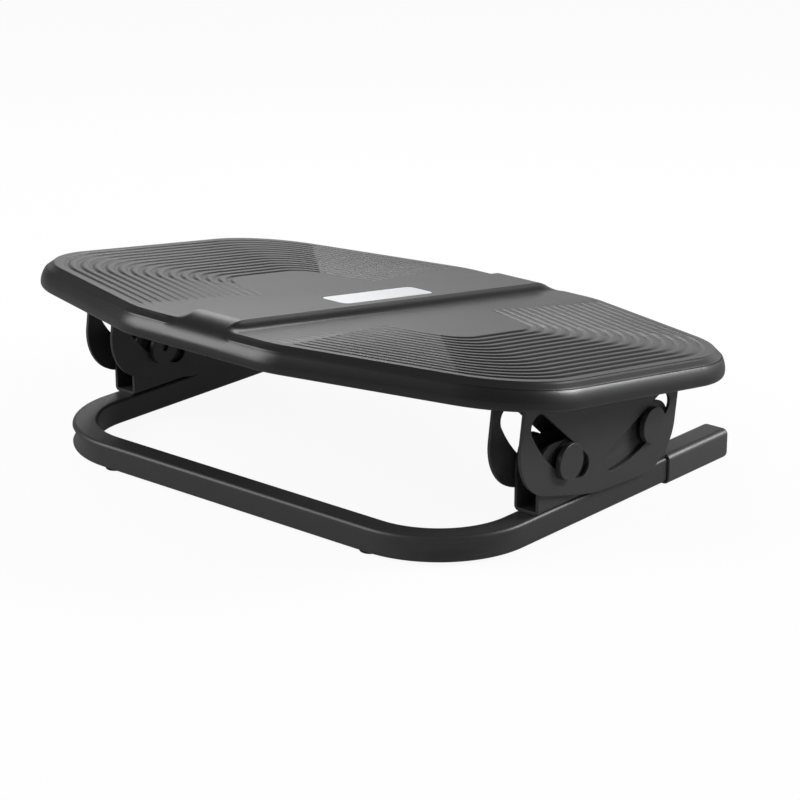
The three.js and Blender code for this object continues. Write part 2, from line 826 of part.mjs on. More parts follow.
function trayGeometry() {
  const pocketHalfLength = trayHalfDepth - bandEndLength - pocketInset;
  const pocket = roundedBox(bandHalfWidth - pocketInset, pocketHalfLength, pocketRadius, pocketSteps);
  const pocketTop = bandRise - plateWall;
  const recess = nameOutline(fit);
  let tray = trayShell()
    .subtract(toSolid(extrudeUp(pocket, 0, pocketTop)))
    .add(stiffeners())
    .subtract(toSolid(extrudeUp(recess, bandRise - nameRecess, cutOverrun)));
  for (const side of sides) {
    for (const y of bossPlaces()) {
      const bore = trayScrewRadius + fit;
      const depth = trayScrewLength - sheet;
      const drill = new THREE.CylinderGeometry(bore, bore, 2 * depth, trayScrewSegments);
      drill.rotateX(Math.PI / 2);
      tray = tray.subtract(toSolid(drill.translate(side.sign * legX, y, trayDrop - bracketTopDrop)));
    }
  }
  return toGeometry(tray);
}

// Nameplate: a bare plate in a shallow recess of the band.
const nameWidth = 26;
const nameLength = 107;
const nameThickness = 0.9;
const nameRecess = 1;
const nameCornerRadius = 4;
const nameCornerSteps = 4;

function nameOutline(gap) {
  return roundedBox(nameWidth / 2 + gap, nameLength / 2 + gap, nameCornerRadius + gap, nameCornerSteps);
}

function nameplateGeometry() {
  return extrudeUp(nameOutline(0), 0, nameThickness);
}

// Tray screws: pan head screws that come up through the web of each bracket into a boss.
const trayScrewCount = 4;
const trayScrewPitch = 48;
const trayScrewRadius = 2;
const trayScrewLength = 12;
const trayScrewHeadRadius = 4;
const trayScrewHeadHeight = 2.6;
const trayScrewHeadEdge = 1;
const trayScrewSegments = 8;

function trayScrewPlaces() {
  const middle = (trayScrewCount - 1) / 2;
  return Array.from({ length: trayScrewCount }, (_, index) => (index - middle) * trayScrewPitch);
}

function trayScrewGeometry() {
  const screw = revolve([
    [0, -trayScrewHeadHeight],
    [trayScrewHeadRadius - trayScrewHeadEdge, -trayScrewHeadHeight],
    [trayScrewHeadRadius, trayScrewHeadEdge - trayScrewHeadHeight],
    [trayScrewHeadRadius, 0],
    [trayScrewRadius, 0],
    [trayScrewRadius, trayScrewLength],
    [0, trayScrewLength],
  ], trayScrewSegments);
  return screw.rotateX(Math.PI / 2);
}

function buildBase() {
  const base = new THREE.Group();
  const { paintedSteel, sleevePlastic, rubber, nylon } = finishes;
  const tubeMiddle = footProud + tubeSide / 2;
  const footY = frontY + tubeSide / 2;
  addPiece(base, 'base_tube', baseTubeGeometry(), paintedSteel, [0, 0, tubeMiddle]);
  for (const side of sides) {
    const x = side.sign * legX;
    const sleeveY = rearY - sleeveLength;
    addPiece(base, `leg_sleeve_${side.name}`, sleeveGeometry(), sleevePlastic, [x, sleeveY, tubeMiddle]);
    const foot = footGeometry().rotateX(Math.PI / 2);
    addPiece(base, `front_foot_${side.name}`, foot, rubber, [side.sign * footX, footY, 0]);
    addPiece(base, `lower_channel_${side.name}`, channelGeometry(), paintedSteel, [x, 0, tubeTop + fit]);
    for (const end of ends) {
      const place = [x, end.sign * pinSpacing / 2, pinHeight];
      const label = `${side.name}_${end.name}`;
      const fittings = [
        addPiece(base, `pin_barrel_${label}`, barrelGeometry(), paintedSteel, place),
        addPiece(base, `slot_bush_${label}_outer`, bushGeometry(), nylon, place),
      ];
      const inward = [
        addPiece(base, `pin_screw_${label}`, pinScrewGeometry(), paintedSteel, place),
        addPiece(base, `slot_bush_${label}_inner`, bushGeometry(), nylon, place),
      ];
      fittings.forEach((piece) => piece.rotateZ(-side.sign * Math.PI / 2));
      inward.forEach((piece) => piece.rotateZ(side.sign * Math.PI / 2));
    }
  }
  return base;
}

function buildPlatform() {
  const platform = new THREE.Group();
  addPiece(platform, 'footrest_tray', trayGeometry(), finishes.moulded, [0, -trayForward, -trayDrop]);
  const nameLevel = bandRise - nameRecess + fit - trayDrop;
  addPiece(platform, 'nameplate', nameplateGeometry(), finishes.silver, [0, -trayForward, nameLevel]);
  for (const side of sides) {
    const x = side.sign * legX;
    addPiece(platform, `rocker_bracket_${side.name}`, bracketGeometry(), finishes.paintedSteel, [x, 0, 0]);
    trayScrewPlaces().forEach((y, index) => {
      const place = [x, y, -bracketTopDrop - sheet - fit];
      addPiece(platform, `tray_screw_${side.name}_${index + 1}`, trayScrewGeometry(), finishes.zinc, place);
    });
  }
  return platform;
}

// The platform is turned about the tilt axis, its rear edge down. The origin is under the middle of the part.
function buildFootrest() {
  const footrest = new THREE.Group();
  const platform = buildPlatform();
  platform.position.set(0, 0, axisHeight);
  platform.rotation.set(-radians(restTilt), 0, 0);
  footrest.add(buildBase(), platform);
  const box = new THREE.Box3().setFromObject(footrest, true);
  const middle = box.getCenter(new THREE.Vector3());
  footrest.position.set(0, -middle.y, -box.min.z);
  return footrest;
}

export default buildFootrest();
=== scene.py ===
import json

import bpy
import bmesh
import numpy as np
from mathutils.geometry import tessellate_polygon
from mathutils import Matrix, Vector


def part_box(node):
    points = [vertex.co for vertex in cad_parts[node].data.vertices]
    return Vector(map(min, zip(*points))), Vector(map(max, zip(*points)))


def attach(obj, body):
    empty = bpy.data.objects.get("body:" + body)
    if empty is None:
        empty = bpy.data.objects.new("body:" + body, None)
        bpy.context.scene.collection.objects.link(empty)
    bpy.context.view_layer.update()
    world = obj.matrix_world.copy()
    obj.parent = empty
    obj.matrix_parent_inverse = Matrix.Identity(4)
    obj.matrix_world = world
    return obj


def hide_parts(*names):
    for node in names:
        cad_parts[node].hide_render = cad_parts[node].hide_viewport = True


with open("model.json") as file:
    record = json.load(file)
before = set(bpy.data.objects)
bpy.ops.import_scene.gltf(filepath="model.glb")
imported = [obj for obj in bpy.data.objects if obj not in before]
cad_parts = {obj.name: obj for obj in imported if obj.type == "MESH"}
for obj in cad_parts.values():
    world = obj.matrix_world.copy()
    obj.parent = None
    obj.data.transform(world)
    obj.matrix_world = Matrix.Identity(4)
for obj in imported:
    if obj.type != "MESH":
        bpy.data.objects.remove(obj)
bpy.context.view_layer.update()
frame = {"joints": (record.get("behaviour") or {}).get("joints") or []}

# Camera. It stands to the front right of the footrest and looks a little down on it.
# Its lens is long, so the far edges of the platform stay nearly parallel to the near ones.
camera_right = 1.3631
camera_ahead = 1.4071
camera_height = 0.7673
camera_azimuth = 40.376
camera_elevation = 19.178
camera_lens = 127.4
camera_sensor = 36

camera = bpy.data.objects.new("camera", bpy.data.cameras.new("camera"))
camera.data.lens = camera_lens
camera.data.sensor_width = camera_sensor
camera.location = (camera_right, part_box("base_tube")[0].y - camera_ahead, camera_height)
camera.rotation_euler = np.radians((90 - camera_elevation, 0, camera_azimuth))
bpy.context.scene.collection.objects.link(camera)
bpy.context.scene.camera = camera

# Footrest tray. One piece moulded in black plastic with a fine satin texture: a rounded rim, two ribbed foot
# zones with a chamfered edge, and a raised band between them. It is screwed from below to the two brackets.
mm = 0.001
hair = 0.001 * mm
tilt_axis = np.array(frame["joints"][0]["pos_m"])
rest_tilt = np.radians(8.5)
tray_drop = 22.6 * mm
tray_forward = 1.2 * mm
half_width = 252.3 * mm
half_depth = 199.3 * mm
side_half_depth = 132.1 * mm
end_half_width = 68.7 * mm
side_corner_radius = 80.8 * mm
end_corner_radius = 63.8 * mm
zone_rise = 4.4 * mm
bevel_width = 5 * mm
band_rise = 10.2 * mm
band_half_width = 21 * mm
band_foot = 31 * mm
band_end_length = 24 * mm
band_blend = 22 * mm
band_corner_radius = 12 * mm
zone_corner_radius = 5 * mm
rim_bulge = 4.15 * mm
rim_fall = 10 * mm
side_power = 1.5
band_end_root = 2
wall_slope = np.radians(50)
wall_run_share = 0.96
chamfer_crowding = 1.5
chamfer_edge_share = 0.3
chamfer_edge_rise_share = 0.05
skirt_depth = 16.2 * mm
skirt_wall = 3 * mm
skirt_roll = 4.5 * mm
plate_wall = 3 * mm
plate_shoulder = 4.5 * mm
plate_step = 6 * mm
flat_half_width = 113 * mm
flat_side_half_depth = 40 * mm
flat_end_half_width = 59 * mm
flat_band_half_width = 46 * mm
flat_slope = np.radians(20)
flat_corner_radius = 22 * mm
rib_count = 15
rib_depth = 1.4 * mm
groove_share = 0.34
rib_fade = (52 * mm, 106 * mm)
notch_width = 1.1 * mm
notch_depth = 1.2 * mm
notch_run_out = np.radians(60)
edge_round = 0.5 * mm


def smooth(value, low, high):
    """Zero below low, one above high, and between them the S curve share^2 * (3 - 2 * share)."""
    share = np.clip((value - low) / (high - low), 0, 1)
    return share * share * (3 - 2 * share)


def mix(a, b, share):
    """The point that lies a share of the way from a to b."""
    return a + (b - a) * share


def swung(start, centre, angles):
    """The start point turned about a centre by each of the angles."""
    x, y = start - centre
    across = x * np.cos(angles) - y * np.sin(angles)
    up = x * np.sin(angles) + y * np.cos(angles)
    return centre + np.stack([across, up], axis=1)


def rounded_outline(corners, radii, steps):
    """A closed outline through rounded corners: each corner is an arc that touches both of its sides.
    The arc's centre lies on the bisector, at radius / sin(half the corner's angle)."""
    shortest = 1e-9
    points = []
    for index, (here, radius, count) in enumerate(zip(corners, radii, steps)):
        if radius == 0:
            points.append(here[None])
            continue
        back = corners[index - 1] - here
        ahead = corners[(index + 1) % len(corners)] - here
        back = back / np.linalg.norm(back)
        ahead = ahead / np.linalg.norm(ahead)
        half = np.arccos(np.clip(back @ ahead, -1, 1)) / 2
        middle = (back + ahead) / max(np.linalg.norm(back + ahead), shortest)
        centre = here + middle * radius / np.sin(half)
        turn = np.sign(ahead[0] * back[1] - ahead[1] * back[0]) * (np.pi - 2 * half)
        first = here + back * radius / np.tan(half)
        points.append(swung(first, centre, turn * np.linspace(0, 1, count + 1)))
    return np.concatenate(points)


# Stations on each end of the band, as shares of its sloping length: from the slope's upper end to just short
# of the corner that turns into the rim.
station_count = 9
corner_clearance = 1.04
last_station_share = corner_clearance * band_corner_radius / band_end_length
band_stations = np.linspace(1, last_station_share, station_count)
corner_steps = [0] * station_count + [10, 14, 28]


def both_ends(quarter):
    """A right half made from its near quarter: the same corners again at the far end, in reverse."""
    far = quarter[::-1] * (1, -1)
    return np.concatenate([quarter, far])


def outline_corners(distance, band_x, band_radius):
    """Corners and radii of the tray's right half, with every side a distance outside the groove line."""
    slope = np.arctan2(half_depth - side_half_depth, half_width - end_half_width)
    end_x = end_half_width + distance * np.tan(slope / 2)
    side_y = side_half_depth + distance * np.tan((np.pi / 2 - slope) / 2)
    end_y = half_depth + distance
    band = [(band_x, -(half_depth - share * band_end_length)) for share in band_stations]
    quarter = np.array(band + [(band_x, -end_y), (end_x, -end_y), (half_width + distance, -side_y)])
    radii = [0] * len(band) + [band_radius, end_corner_radius + distance, side_corner_radius + distance]
    return both_ends(quarter), np.array(radii + radii[::-1])


def flat_corners():
    """Corners and radii of the plain flat in the right foot zone, in step with those of the outline."""
    def near_edge(x):
        return -flat_side_half_depth - (flat_half_width - x) * np.tan(flat_slope)
    x = flat_band_half_width
    band = [(x, near_edge(x) + share * zone_corner_radius * 2) for share in band_stations]
    end = (flat_end_half_width, near_edge(flat_end_half_width))
    quarter = np.array(band + [(x, near_edge(x)), end, (flat_half_width, -flat_side_half_depth)])
    radii = [0] * len(band) + [zone_corner_radius / 2, side_corner_radius / 2, flat_corner_radius]
    return both_ends(quarter), np.array(radii + radii[::-1])


def outline_at(corners, radii):
    """The closed outline of the right half, with the same number of points whatever its size."""
    return rounded_outline(corners, radii, corner_steps + corner_steps[::-1])


def band_share(x):
    """One over the band, falling to zero where its ends have run out into the rim."""
    return 1 - smooth(np.abs(x), band_half_width, band_half_width + band_blend)


def rim_height(x, distance):
    """Height above the groove line. Over the rim it falls as (1 - share^power)^(1/power), a quarter of a
    superellipse. At the band's ends one longer fall, (1 - share^power)^(1/root), goes from the band's top to
    the same foot."""
    across = np.clip(distance / rim_bulge, 0, 1)
    rim = rim_fall * ((1 - across ** side_power) ** (1 / side_power) - 1)
    along = np.clip((distance + band_end_length) / (rim_bulge + band_end_length), 0, 1)
    band = (band_rise + rim_fall) * (1 - along ** side_power) ** (1 / band_end_root) - rim_fall
    return mix(rim, band, band_share(x))


def groove(step, x):
    """A cosine bell at each whole step between the flat and the zone's edge, fading out beside the band."""
    off = np.abs(step - np.round(step))
    bell = np.where(off < groove_share, (1 + np.cos(np.pi * off / groove_share)) / 2, 0)
    inside = (np.round(step) > 0) & (np.round(step) < rib_count)
    return bell * inside * smooth(np.abs(x), *rib_fade)


def groove_line():
    """The line at the foot of the zone's chamfer. Beside the band it climbs to the band's top edge."""
    outline = outline_at(*outline_corners(0, band_half_width, band_corner_radius))
    x, y = outline.T
    beside = x < band_half_width + band_corner_radius + hair
    distance = np.where(beside, np.minimum(np.abs(y) - half_depth, 0), 0)
    return np.stack([x, y, rim_height(x, distance)], axis=1), beside


def zone_grid(rows_per_rib=10):
    """Rings of the right foot zone. Each is the flat's outline moved a share of the way to the zone's edge,
    with the grooves cut in."""
    flat, flat_radii = flat_corners()
    edge, edge_radii = outline_corners(-bevel_width - edge_round, band_foot + edge_round, zone_corner_radius)
    rings = []
    for step in np.linspace(0, rib_count, rib_count * rows_per_rib + 1):
        share = step / rib_count
        x, y = outline_at(mix(flat, edge, share), mix(flat_radii, edge_radii, share)).T
        rings.append(np.stack([x, y, zone_rise - rib_depth * groove(step, x)], axis=1))
    return np.array(rings)


def cove_shares(steps=9):
    """The wall along the band, as shares of its width and rise: an arc that leaves the zone level and climbs
    to the wall's slope, then a straight run. The arc's radius is
    (width * tan(slope) - rise) / (sin(slope) * tan(slope) - 1 + cos(slope))."""
    width = band_foot - band_half_width
    rise = band_rise - zone_rise
    tangent = np.tan(wall_slope)
    radius = (width * tangent - rise) / (np.sin(wall_slope) * tangent - 1 + np.cos(wall_slope))
    angles = np.linspace(0, wall_slope, steps)
    across = np.append(radius * np.sin(angles) / width, [wall_run_share, 1])
    run_rise = (1 - wall_run_share) * width * tangent / rise
    return across, np.append(radius * (1 - np.cos(angles)) / rise, [1 - run_rise, 1])


def chamfer_shares(steps=9):
    """The chamfer outside the zone, as shares of its width and fall: a small round edge, half a sine under
    the diagonal, then a straight run. The last share comes twice, to match the wall's count."""
    across = np.append(np.linspace(0, 1, steps + 1) ** chamfer_crowding, 1)
    under = np.sin(np.pi * np.clip(across / chamfer_edge_share, 0, 1))
    return across, across - chamfer_edge_rise_share * under


def zone_edge_grid():
    """Rings from the zone's edge to the groove line. Where that line lies above the zone they follow the
    band's wall, where it lies below they follow the chamfer, and in between a share of both."""
    edge = zone_grid(1)[-1]
    line, _ = groove_line()
    across_wall, up_wall = cove_shares()
    across_chamfer, down_chamfer = chamfer_shares()
    wall = smooth(line[:, 2], 0, band_rise)[None, :]
    across = mix(across_chamfer[:, None], across_wall[:, None], wall)
    rise = mix(down_chamfer[:, None], up_wall[:, None], wall)
    plan = mix(edge[None, :, :2], line[None, :, :2], across[..., None])
    height = mix(edge[None, :, 2], line[None, :, 2], rise)
    return np.concatenate([plan, height[..., None]], axis=2)


def rim_ring(distance, height):
    """The right half of the rim's outline at a distance outside the groove line, at one height."""
    line, beside = groove_line()
    outline = outline_at(*outline_corners(distance, band_half_width, band_corner_radius))
    x = np.where(beside, line[:, 0], outline[:, 0])
    y = np.where(beside, np.sign(line[:, 1]) * (half_depth + distance), outline[:, 1])
    ring = np.stack([x, y, np.full(len(x), height)], axis=1)
    return ring[station_count:-station_count]


def rim_rings(notch_rows=8, rim_rows=32, roll_rows=9):
    """Rings from the groove line over the notch and the rim, down the skirt, and back in under the plate.
    The notch is a squared sine, the rim's rows lie evenly in angle, and the skirt's foot is rolled in a
    quarter circle."""
    line, beside = groove_line()
    keep = slice(station_count, -station_count)
    line, beside = line[keep], beside[keep]
    rings = [line]
    run_out = np.where(beside, half_depth - np.abs(line[:, 1]), 0)
    notch = np.where(beside, 1 - band_share(line[:, 0]), 1)
    shares = np.linspace(0, 1, notch_rows + 1)[1:]
    rows = [(notch_width * share, np.sin(np.pi * share) ** 2, 0) for share in shares]
    for angle in np.linspace(0, np.pi / 2, rim_rows + 1)[1:]:
        rows.append((mix(notch_width, rim_bulge, np.sin(angle)), 0, min(angle / notch_run_out, 1)))
    for distance, down, along in rows:
        ring = rim_ring(distance, 0)
        outside = distance * mix(notch, 1, along) - run_out * (1 - along)
        ring[:, 1] = np.where(beside, np.sign(line[:, 1]) * (half_depth + outside), ring[:, 1])
        ring[:, 2] = rim_height(ring[:, 0], outside) - notch_depth * down * notch
        rings.append(ring)
    for angle in np.linspace(0, np.pi / 2, roll_rows + 1):
        distance = rim_bulge - skirt_roll * (1 - np.cos(angle))
        rings.append(rim_ring(distance, skirt_roll * (1 - np.sin(angle)) - skirt_depth))
    inside = rim_bulge - skirt_roll - skirt_wall / 2
    rings.append(rim_ring(inside, skirt_wall / 2 - skirt_depth))
    rings.append(rim_ring(inside, -plate_shoulder))
    rings.append(rim_ring(inside - plate_step, zone_rise - rib_depth - plate_wall))
    return np.array(rings)


def turned(points):
    """The left half: the right half turned by half a turn about the middle of the tray."""
    return points * (-1, -1, 1)


def platform_place(points):
    """Points in the platform's own frame, turned about the tilt axis until the rear edge is down at rest."""
    y = points[..., 1] * np.cos(rest_tilt) + points[..., 2] * np.sin(rest_tilt)
    z = points[..., 2] * np.cos(rest_tilt) - points[..., 1] * np.sin(rest_tilt)
    return np.stack([points[..., 0], y, z], axis=-1) + tilt_axis


def tray_place(points):
    """Points of the level tray, set forward of the tilt axis and below it, and turned with the platform."""
    return platform_place(points - (0, tray_forward, tray_drop))


def grid_quads(rows, columns):
    """Corner numbers of the quads between neighbouring rows and columns of one grid."""
    row, column = np.meshgrid(np.arange(rows - 1), np.arange(columns - 1), indexing="ij")
    corner = row * columns + column
    return np.stack([corner, corner + columns, corner + columns + 1, corner + 1], axis=-1).reshape(-1, 4)


def level_face(*loops):
    """A level face inside the first loop, with the other loops cut out of it: its points and triangles."""
    triangles = tessellate_polygon([[tuple(point[:2]) + (0,) for point in loop] for loop in loops])
    return np.concatenate(loops), triangles


def new_piece(name, grids, faces=(), place=np.asarray, smooth_angle=40):
    """A mesh of grids and single faces, put in their place, whose borders are welded. Edges sharper than the
    angle stay crisp."""
    parts = [(grid.reshape(-1, 3), grid_quads(*grid.shape[:2]).tolist()) for grid in grids]
    parts += list(faces)
    points, corners, first = [], [], 0
    for part_points, part_corners in parts:
        points.append(place(part_points))
        corners += [[first + corner for corner in face] for face in part_corners]
        first += len(part_points)
    mesh = bpy.data.meshes.new(name)
    mesh.from_pydata(np.concatenate(points).tolist(), [], corners)
    shape = bmesh.new()
    shape.from_mesh(mesh)
    bmesh.ops.remove_doubles(shape, verts=shape.verts, dist=2 * hair)
    bmesh.ops.dissolve_degenerate(shape, edges=shape.edges, dist=hair / 10)
    bmesh.ops.recalc_face_normals(shape, faces=shape.faces)
    shape.to_mesh(mesh)
    shape.free()
    mesh.shade_smooth()
    mesh.set_sharp_from_angle(angle=np.radians(smooth_angle))
    piece = bpy.data.objects.new(name, mesh)
    bpy.context.scene.collection.objects.link(piece)
    even = piece.modifiers.new("even_flats", "WEIGHTED_NORMAL")
    even.keep_sharp = True
    return piece


def closed(rows):
    """Rows whose first point comes again at their end."""
    return np.concatenate([rows, rows[:, :1]], axis=1)


def rounded_rectangle(half_x, half_y, radius, steps):
    """An outline of four corners and four arcs about the middle."""
    corners = np.array([(-half_x, -half_y), (half_x, -half_y), (half_x, half_y), (-half_x, half_y)])
    return rounded_outline(corners, [radius] * 4, [steps] * 4)


def at_height(outline, height):
    """The points of a flat outline at one height."""
    return np.column_stack([outline, np.full(len(outline), height)])


def assign(piece, body, slot, material, *replaced):
    """Gives a finished piece its body and its finish, and hides the nodes it stands for. The slot is not
    used.
    """
    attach(piece, body)
    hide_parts(*replaced)
    piece.data.materials.clear()
    piece.data.materials.append(material)


def feed(tree, value, socket):
    """Gives an input a plain number, or joins it to the output that carries its value."""
    if isinstance(value, (int, float)):
        socket.default_value = value
    else:
        tree.links.new(value, socket)


def noise_node(tree, place, scale, detail, roughness=0.5):
    """A noise texture in the piece's own metres."""
    noise = tree.nodes.new("ShaderNodeTexNoise")
    feed(tree, scale, noise.inputs["Scale"])
    noise.inputs["Detail"].default_value = detail
    noise.inputs["Roughness"].default_value = roughness
    tree.links.new(place.outputs["Object"], noise.inputs["Vector"])
    return noise.outputs["Fac"]


def math_node(tree, operation, first, second):
    """One step of arithmetic on two outputs or plain numbers."""
    node = tree.nodes.new("ShaderNodeMath")
    node.operation = operation
    feed(tree, first, node.inputs[0])
    feed(tree, second, node.inputs[1])
    return node.outputs[0]


pits_per_metre = 2600
dimples_per_metre = 900
dimple_share = 0.7
patches_per_metre = 14


def mould_grain_group():
    """Grain: fine pits and wider dimples, two noises in metres added up. Patches: a slow noise, as where a
    finish takes the light unevenly."""
    group = bpy.data.node_groups.new("mould_grain", "ShaderNodeTree")
    for label, way in (("Fineness", "INPUT"), ("Grain", "OUTPUT"), ("Patches", "OUTPUT")):
        group.interface.new_socket(label, in_out=way, socket_type="NodeSocketFloat")
    fineness = group.nodes.new("NodeGroupInput").outputs["Fineness"]
    given_out = group.nodes.new("NodeGroupOutput")
    place = group.nodes.new("ShaderNodeTexCoord")
    pit_scale = math_node(group, "MULTIPLY", fineness, pits_per_metre)
    dimple_scale = math_node(group, "MULTIPLY", fineness, dimples_per_metre)
    pits = noise_node(group, place, pit_scale, detail=3, roughness=0.6)
    dimples = noise_node(group, place, dimple_scale, detail=2)
    grain = math_node(group, "ADD", pits, math_node(group, "MULTIPLY", dimples, dimple_share))
    group.links.new(grain, given_out.inputs["Grain"])
    group.links.new(noise_node(group, place, patches_per_metre, detail=3), given_out.inputs["Patches"])
    return group


mould_grain = mould_grain_group()


def finish(
        name, colour, patch_colour, roughness, patch_roughness, fineness, depth, metallic=0, specular=0.5):
    """A fine grained finish. The patches shift its colour and roughness a little, the grain its normals."""
    material = bpy.data.materials.new(name)
    material.use_nodes = True
    tree = material.node_tree
    shader = tree.nodes["Principled BSDF"]
    shader.inputs["Metallic"].default_value = metallic
    shader.inputs["Specular IOR Level"].default_value = specular
    grain = tree.nodes.new("ShaderNodeGroup")
    grain.node_tree = mould_grain
    grain.inputs["Fineness"].default_value = fineness
    tint = tree.nodes.new("ShaderNodeMix")
    tint.data_type = "RGBA"
    tint.inputs["A"].default_value = (*colour, 1)
    tint.inputs["B"].default_value = (*patch_colour, 1)
    gloss = tree.nodes.new("ShaderNodeMapRange")
    gloss.inputs["To Min"].default_value = roughness
    gloss.inputs["To Max"].default_value = patch_roughness
    bump = tree.nodes.new("ShaderNodeBump")
    bump.inputs["Distance"].default_value = depth
    tree.links.new(grain.outputs["Patches"], tint.inputs["Factor"])
    tree.links.new(tint.outputs["Result"], shader.inputs["Base Color"])
    tree.links.new(grain.outputs["Patches"], gloss.inputs["Value"])
    tree.links.new(gloss.outputs["Result"], shader.inputs["Roughness"])
    tree.links.new(grain.outputs["Grain"], bump.inputs["Height"])
    tree.links.new(bump.outputs["Normal"], shader.inputs["Normal"])
    return material


moulded_black = finish(
    "moulded_black", colour=(0.013, 0.013, 0.0135), patch_colour=(0.018, 0.018, 0.0185),
    roughness=0.30, patch_roughness=0.36, fineness=1.0, depth=0.03 * mm)

plate_recess = 1 * mm
plate_half_width = 13 * mm
plate_half_length = 53.5 * mm
plate_corner_radius = 6 * mm
plate_corner_steps = 8
fit = 0.3 * mm
pocket_inset = 4 * mm
pocket_top = band_rise - plate_wall
pocket_radius = 5 * mm
pocket_steps = 6

zone = zone_grid()
edge = zone_edge_grid()
rim = rim_rings()
between_shares = np.array([0.03, 0.08, 0.2, 0.5, 0.8, 0.92, 0.97])[:, None]
across_far = mix(rim[:, -1:], turned(rim)[:, :1], between_shares)
around = closed(np.concatenate([rim, across_far, turned(rim), turned(across_far)], axis=1))
line, _ = groove_line()
top_count = station_count + 1
band_side = np.concatenate([line[:top_count][::-1], line[-top_count:][::-1]])
band_far = band_side[top_count - 1:top_count + 1]
band_outline = np.concatenate([band_far, turned(band_far)])
recess_outline = rounded_rectangle(
    plate_half_width + fit, plate_half_length + fit, plate_corner_radius + fit, plate_corner_steps)
recess = np.array([at_height(recess_outline, band_rise - drop) for drop in (0, plate_recess)])
pocket_outline = rounded_rectangle(
    band_half_width - pocket_inset, half_depth - band_end_length - pocket_inset, pocket_radius, pocket_steps)
plate_bottom = zone_rise - rib_depth - plate_wall
pocket = np.array([at_height(pocket_outline, height) for height in (plate_bottom, pocket_top)])
end_shares = np.concatenate([[[0]], between_shares, [[1]]])[:, None]
ends = []
for part in (slice(0, top_count), slice(top_count, None)):
    ends.append(mix(band_side[part], turned(band_side)[::-1][part], end_shares))
grids = [around, closed(recess), closed(pocket), *ends]
faces = [
    level_face(band_outline, recess[0]),
    level_face(recess[1]),
    level_face(around[-1][:-1], pocket[0]),
    level_face(pocket[1]),
]
for half in (lambda points: points, turned):
    grids += [closed(half(zone)), closed(half(edge))]
    faces.append(level_face(half(zone[0])))
tray = new_piece("tray_moulding", grids, faces, tray_place)
assign(tray, "platform", "tray_plastic", moulded_black, "footrest_tray")

# Underside of the tray. The moulding has a grid of thin ribs, two rails that stand on each bracket, and a
# round boss for each screw. They are joined here into one piece that sinks a little into the plate above it.
rib_wall = 2.4 * mm
rib_tip_wall = 1.8 * mm
rib_pitch = 48 * mm
bracket_drop = 33 * mm
rib_bottom = tray_drop - bracket_drop + fit
boss_radius = 5 * mm
rail_inset = 5 * mm
bracket_width = 30 * mm
bracket_half_length = 95 * mm
screw_count = 4
screw_pitch = 48 * mm
plate_grip = 1 * mm
tube_side = 20 * mm
legs = (("left", -1), ("right", 1))
leg_middle = (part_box("base_tube")[1].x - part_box("base_tube")[0].x) / 2 - tube_side / 2


def rib(places, tops, axis):
    """A straight rib through places along one axis: a tapered section, thinner at its lower tip, closed at
    both ends. Its top follows the tops, which are lower where the rib runs under the rim."""
    rows = []
    for place, top in zip(places, tops):
        flank = np.array([
            (rib_wall, top),
            (rib_tip_wall, rib_bottom + edge_round),
            (rib_tip_wall - edge_round, rib_bottom),
        ])
        section = np.concatenate([flank, flank[::-1] * (-1, 1)])
        row = np.tile((*place, 0), (len(section), 1))
        row[:, 1 - axis] += section[:, 0] / 2
        row[:, 2] = section[:, 1]
        rows.append(row)
    return np.array(rows)


def outline_reach(distance, value, axis):
    """How far the rim's outline at a distance lies from the middle along one axis, where the other axis has
    this value. The outline's points are read in order of the other axis."""
    x, y, _ = rim_ring(distance, 0).T
    if axis == 0:
        return np.interp(value, y, x)
    near = len(x) // 2
    return np.interp(abs(value), x[:near], -y[:near])


def full_rib(value, axis):
    """A rib across the whole hollow along one axis. Its ends drop under the rim with the shoulder there."""
    inside = rim_bulge - skirt_roll - skirt_wall / 2 + plate_grip
    ends = [outline_reach(distance, value, axis) for distance in (inside, inside - plate_step)]
    along = [-ends[0], -ends[1], ends[1], ends[0]]
    places = [(reach, value) if axis == 0 else (value, reach) for reach in along]
    return rib(places, (-plate_shoulder, plate_top, plate_top, -plate_shoulder), axis)


def circle(x, y, radius, steps=24):
    """A round outline: equal steps of one turn about its middle."""
    turns = np.linspace(0, 2 * np.pi, steps, endpoint=False)
    return np.stack([x + radius * np.cos(turns), y + radius * np.sin(turns)], axis=1)


plate_top = plate_bottom + plate_grip
screw_steps = (np.arange(screw_count) - (screw_count - 1) / 2) * screw_pitch
reach_count = (half_depth - rib_pitch / 2) // rib_pitch
walls = [full_rib(value, 0) for value in np.arange(-reach_count, reach_count + 1) * rib_pitch]
reach_count = (leg_middle - bracket_width / 2) // rib_pitch
walls += [full_rib(value, 1) for value in np.arange(-reach_count, reach_count + 1) * rib_pitch]
bosses = []
for _, side in legs:
    for edge_side in (-1, 1):
        x = side * leg_middle + edge_side * (bracket_width / 2 - rail_inset)
        ends = [(x, tray_forward + end * bracket_half_length) for end in (-1, 1)]
        walls.append(rib(ends, (plate_top, plate_top), 1))
    for y in screw_steps:
        boss = circle(side * leg_middle, y + tray_forward, boss_radius)
        bosses.append(np.array([at_height(boss, plate_top), at_height(boss, rib_bottom)]))
grids = [closed(wall) for wall in walls + bosses]
faces = [(wall[end], [range(len(wall[end]))]) for wall in walls for end in (0, -1)]
faces += [level_face(boss[end]) for boss in bosses for end in (0, -1)]
ribs = new_piece("tray_ribs", grids, faces, tray_place)
assign(ribs, "platform", "tray_plastic", moulded_black, "footrest_tray")

# Nameplate. A thin bare plate of brushed aluminium with softened edges, glued into a shallow recess of the
# band. It is left without any marking.
plate_thickness = 0.9 * mm
plate_edge = 0.25 * mm
glue_film = 0.02 * mm


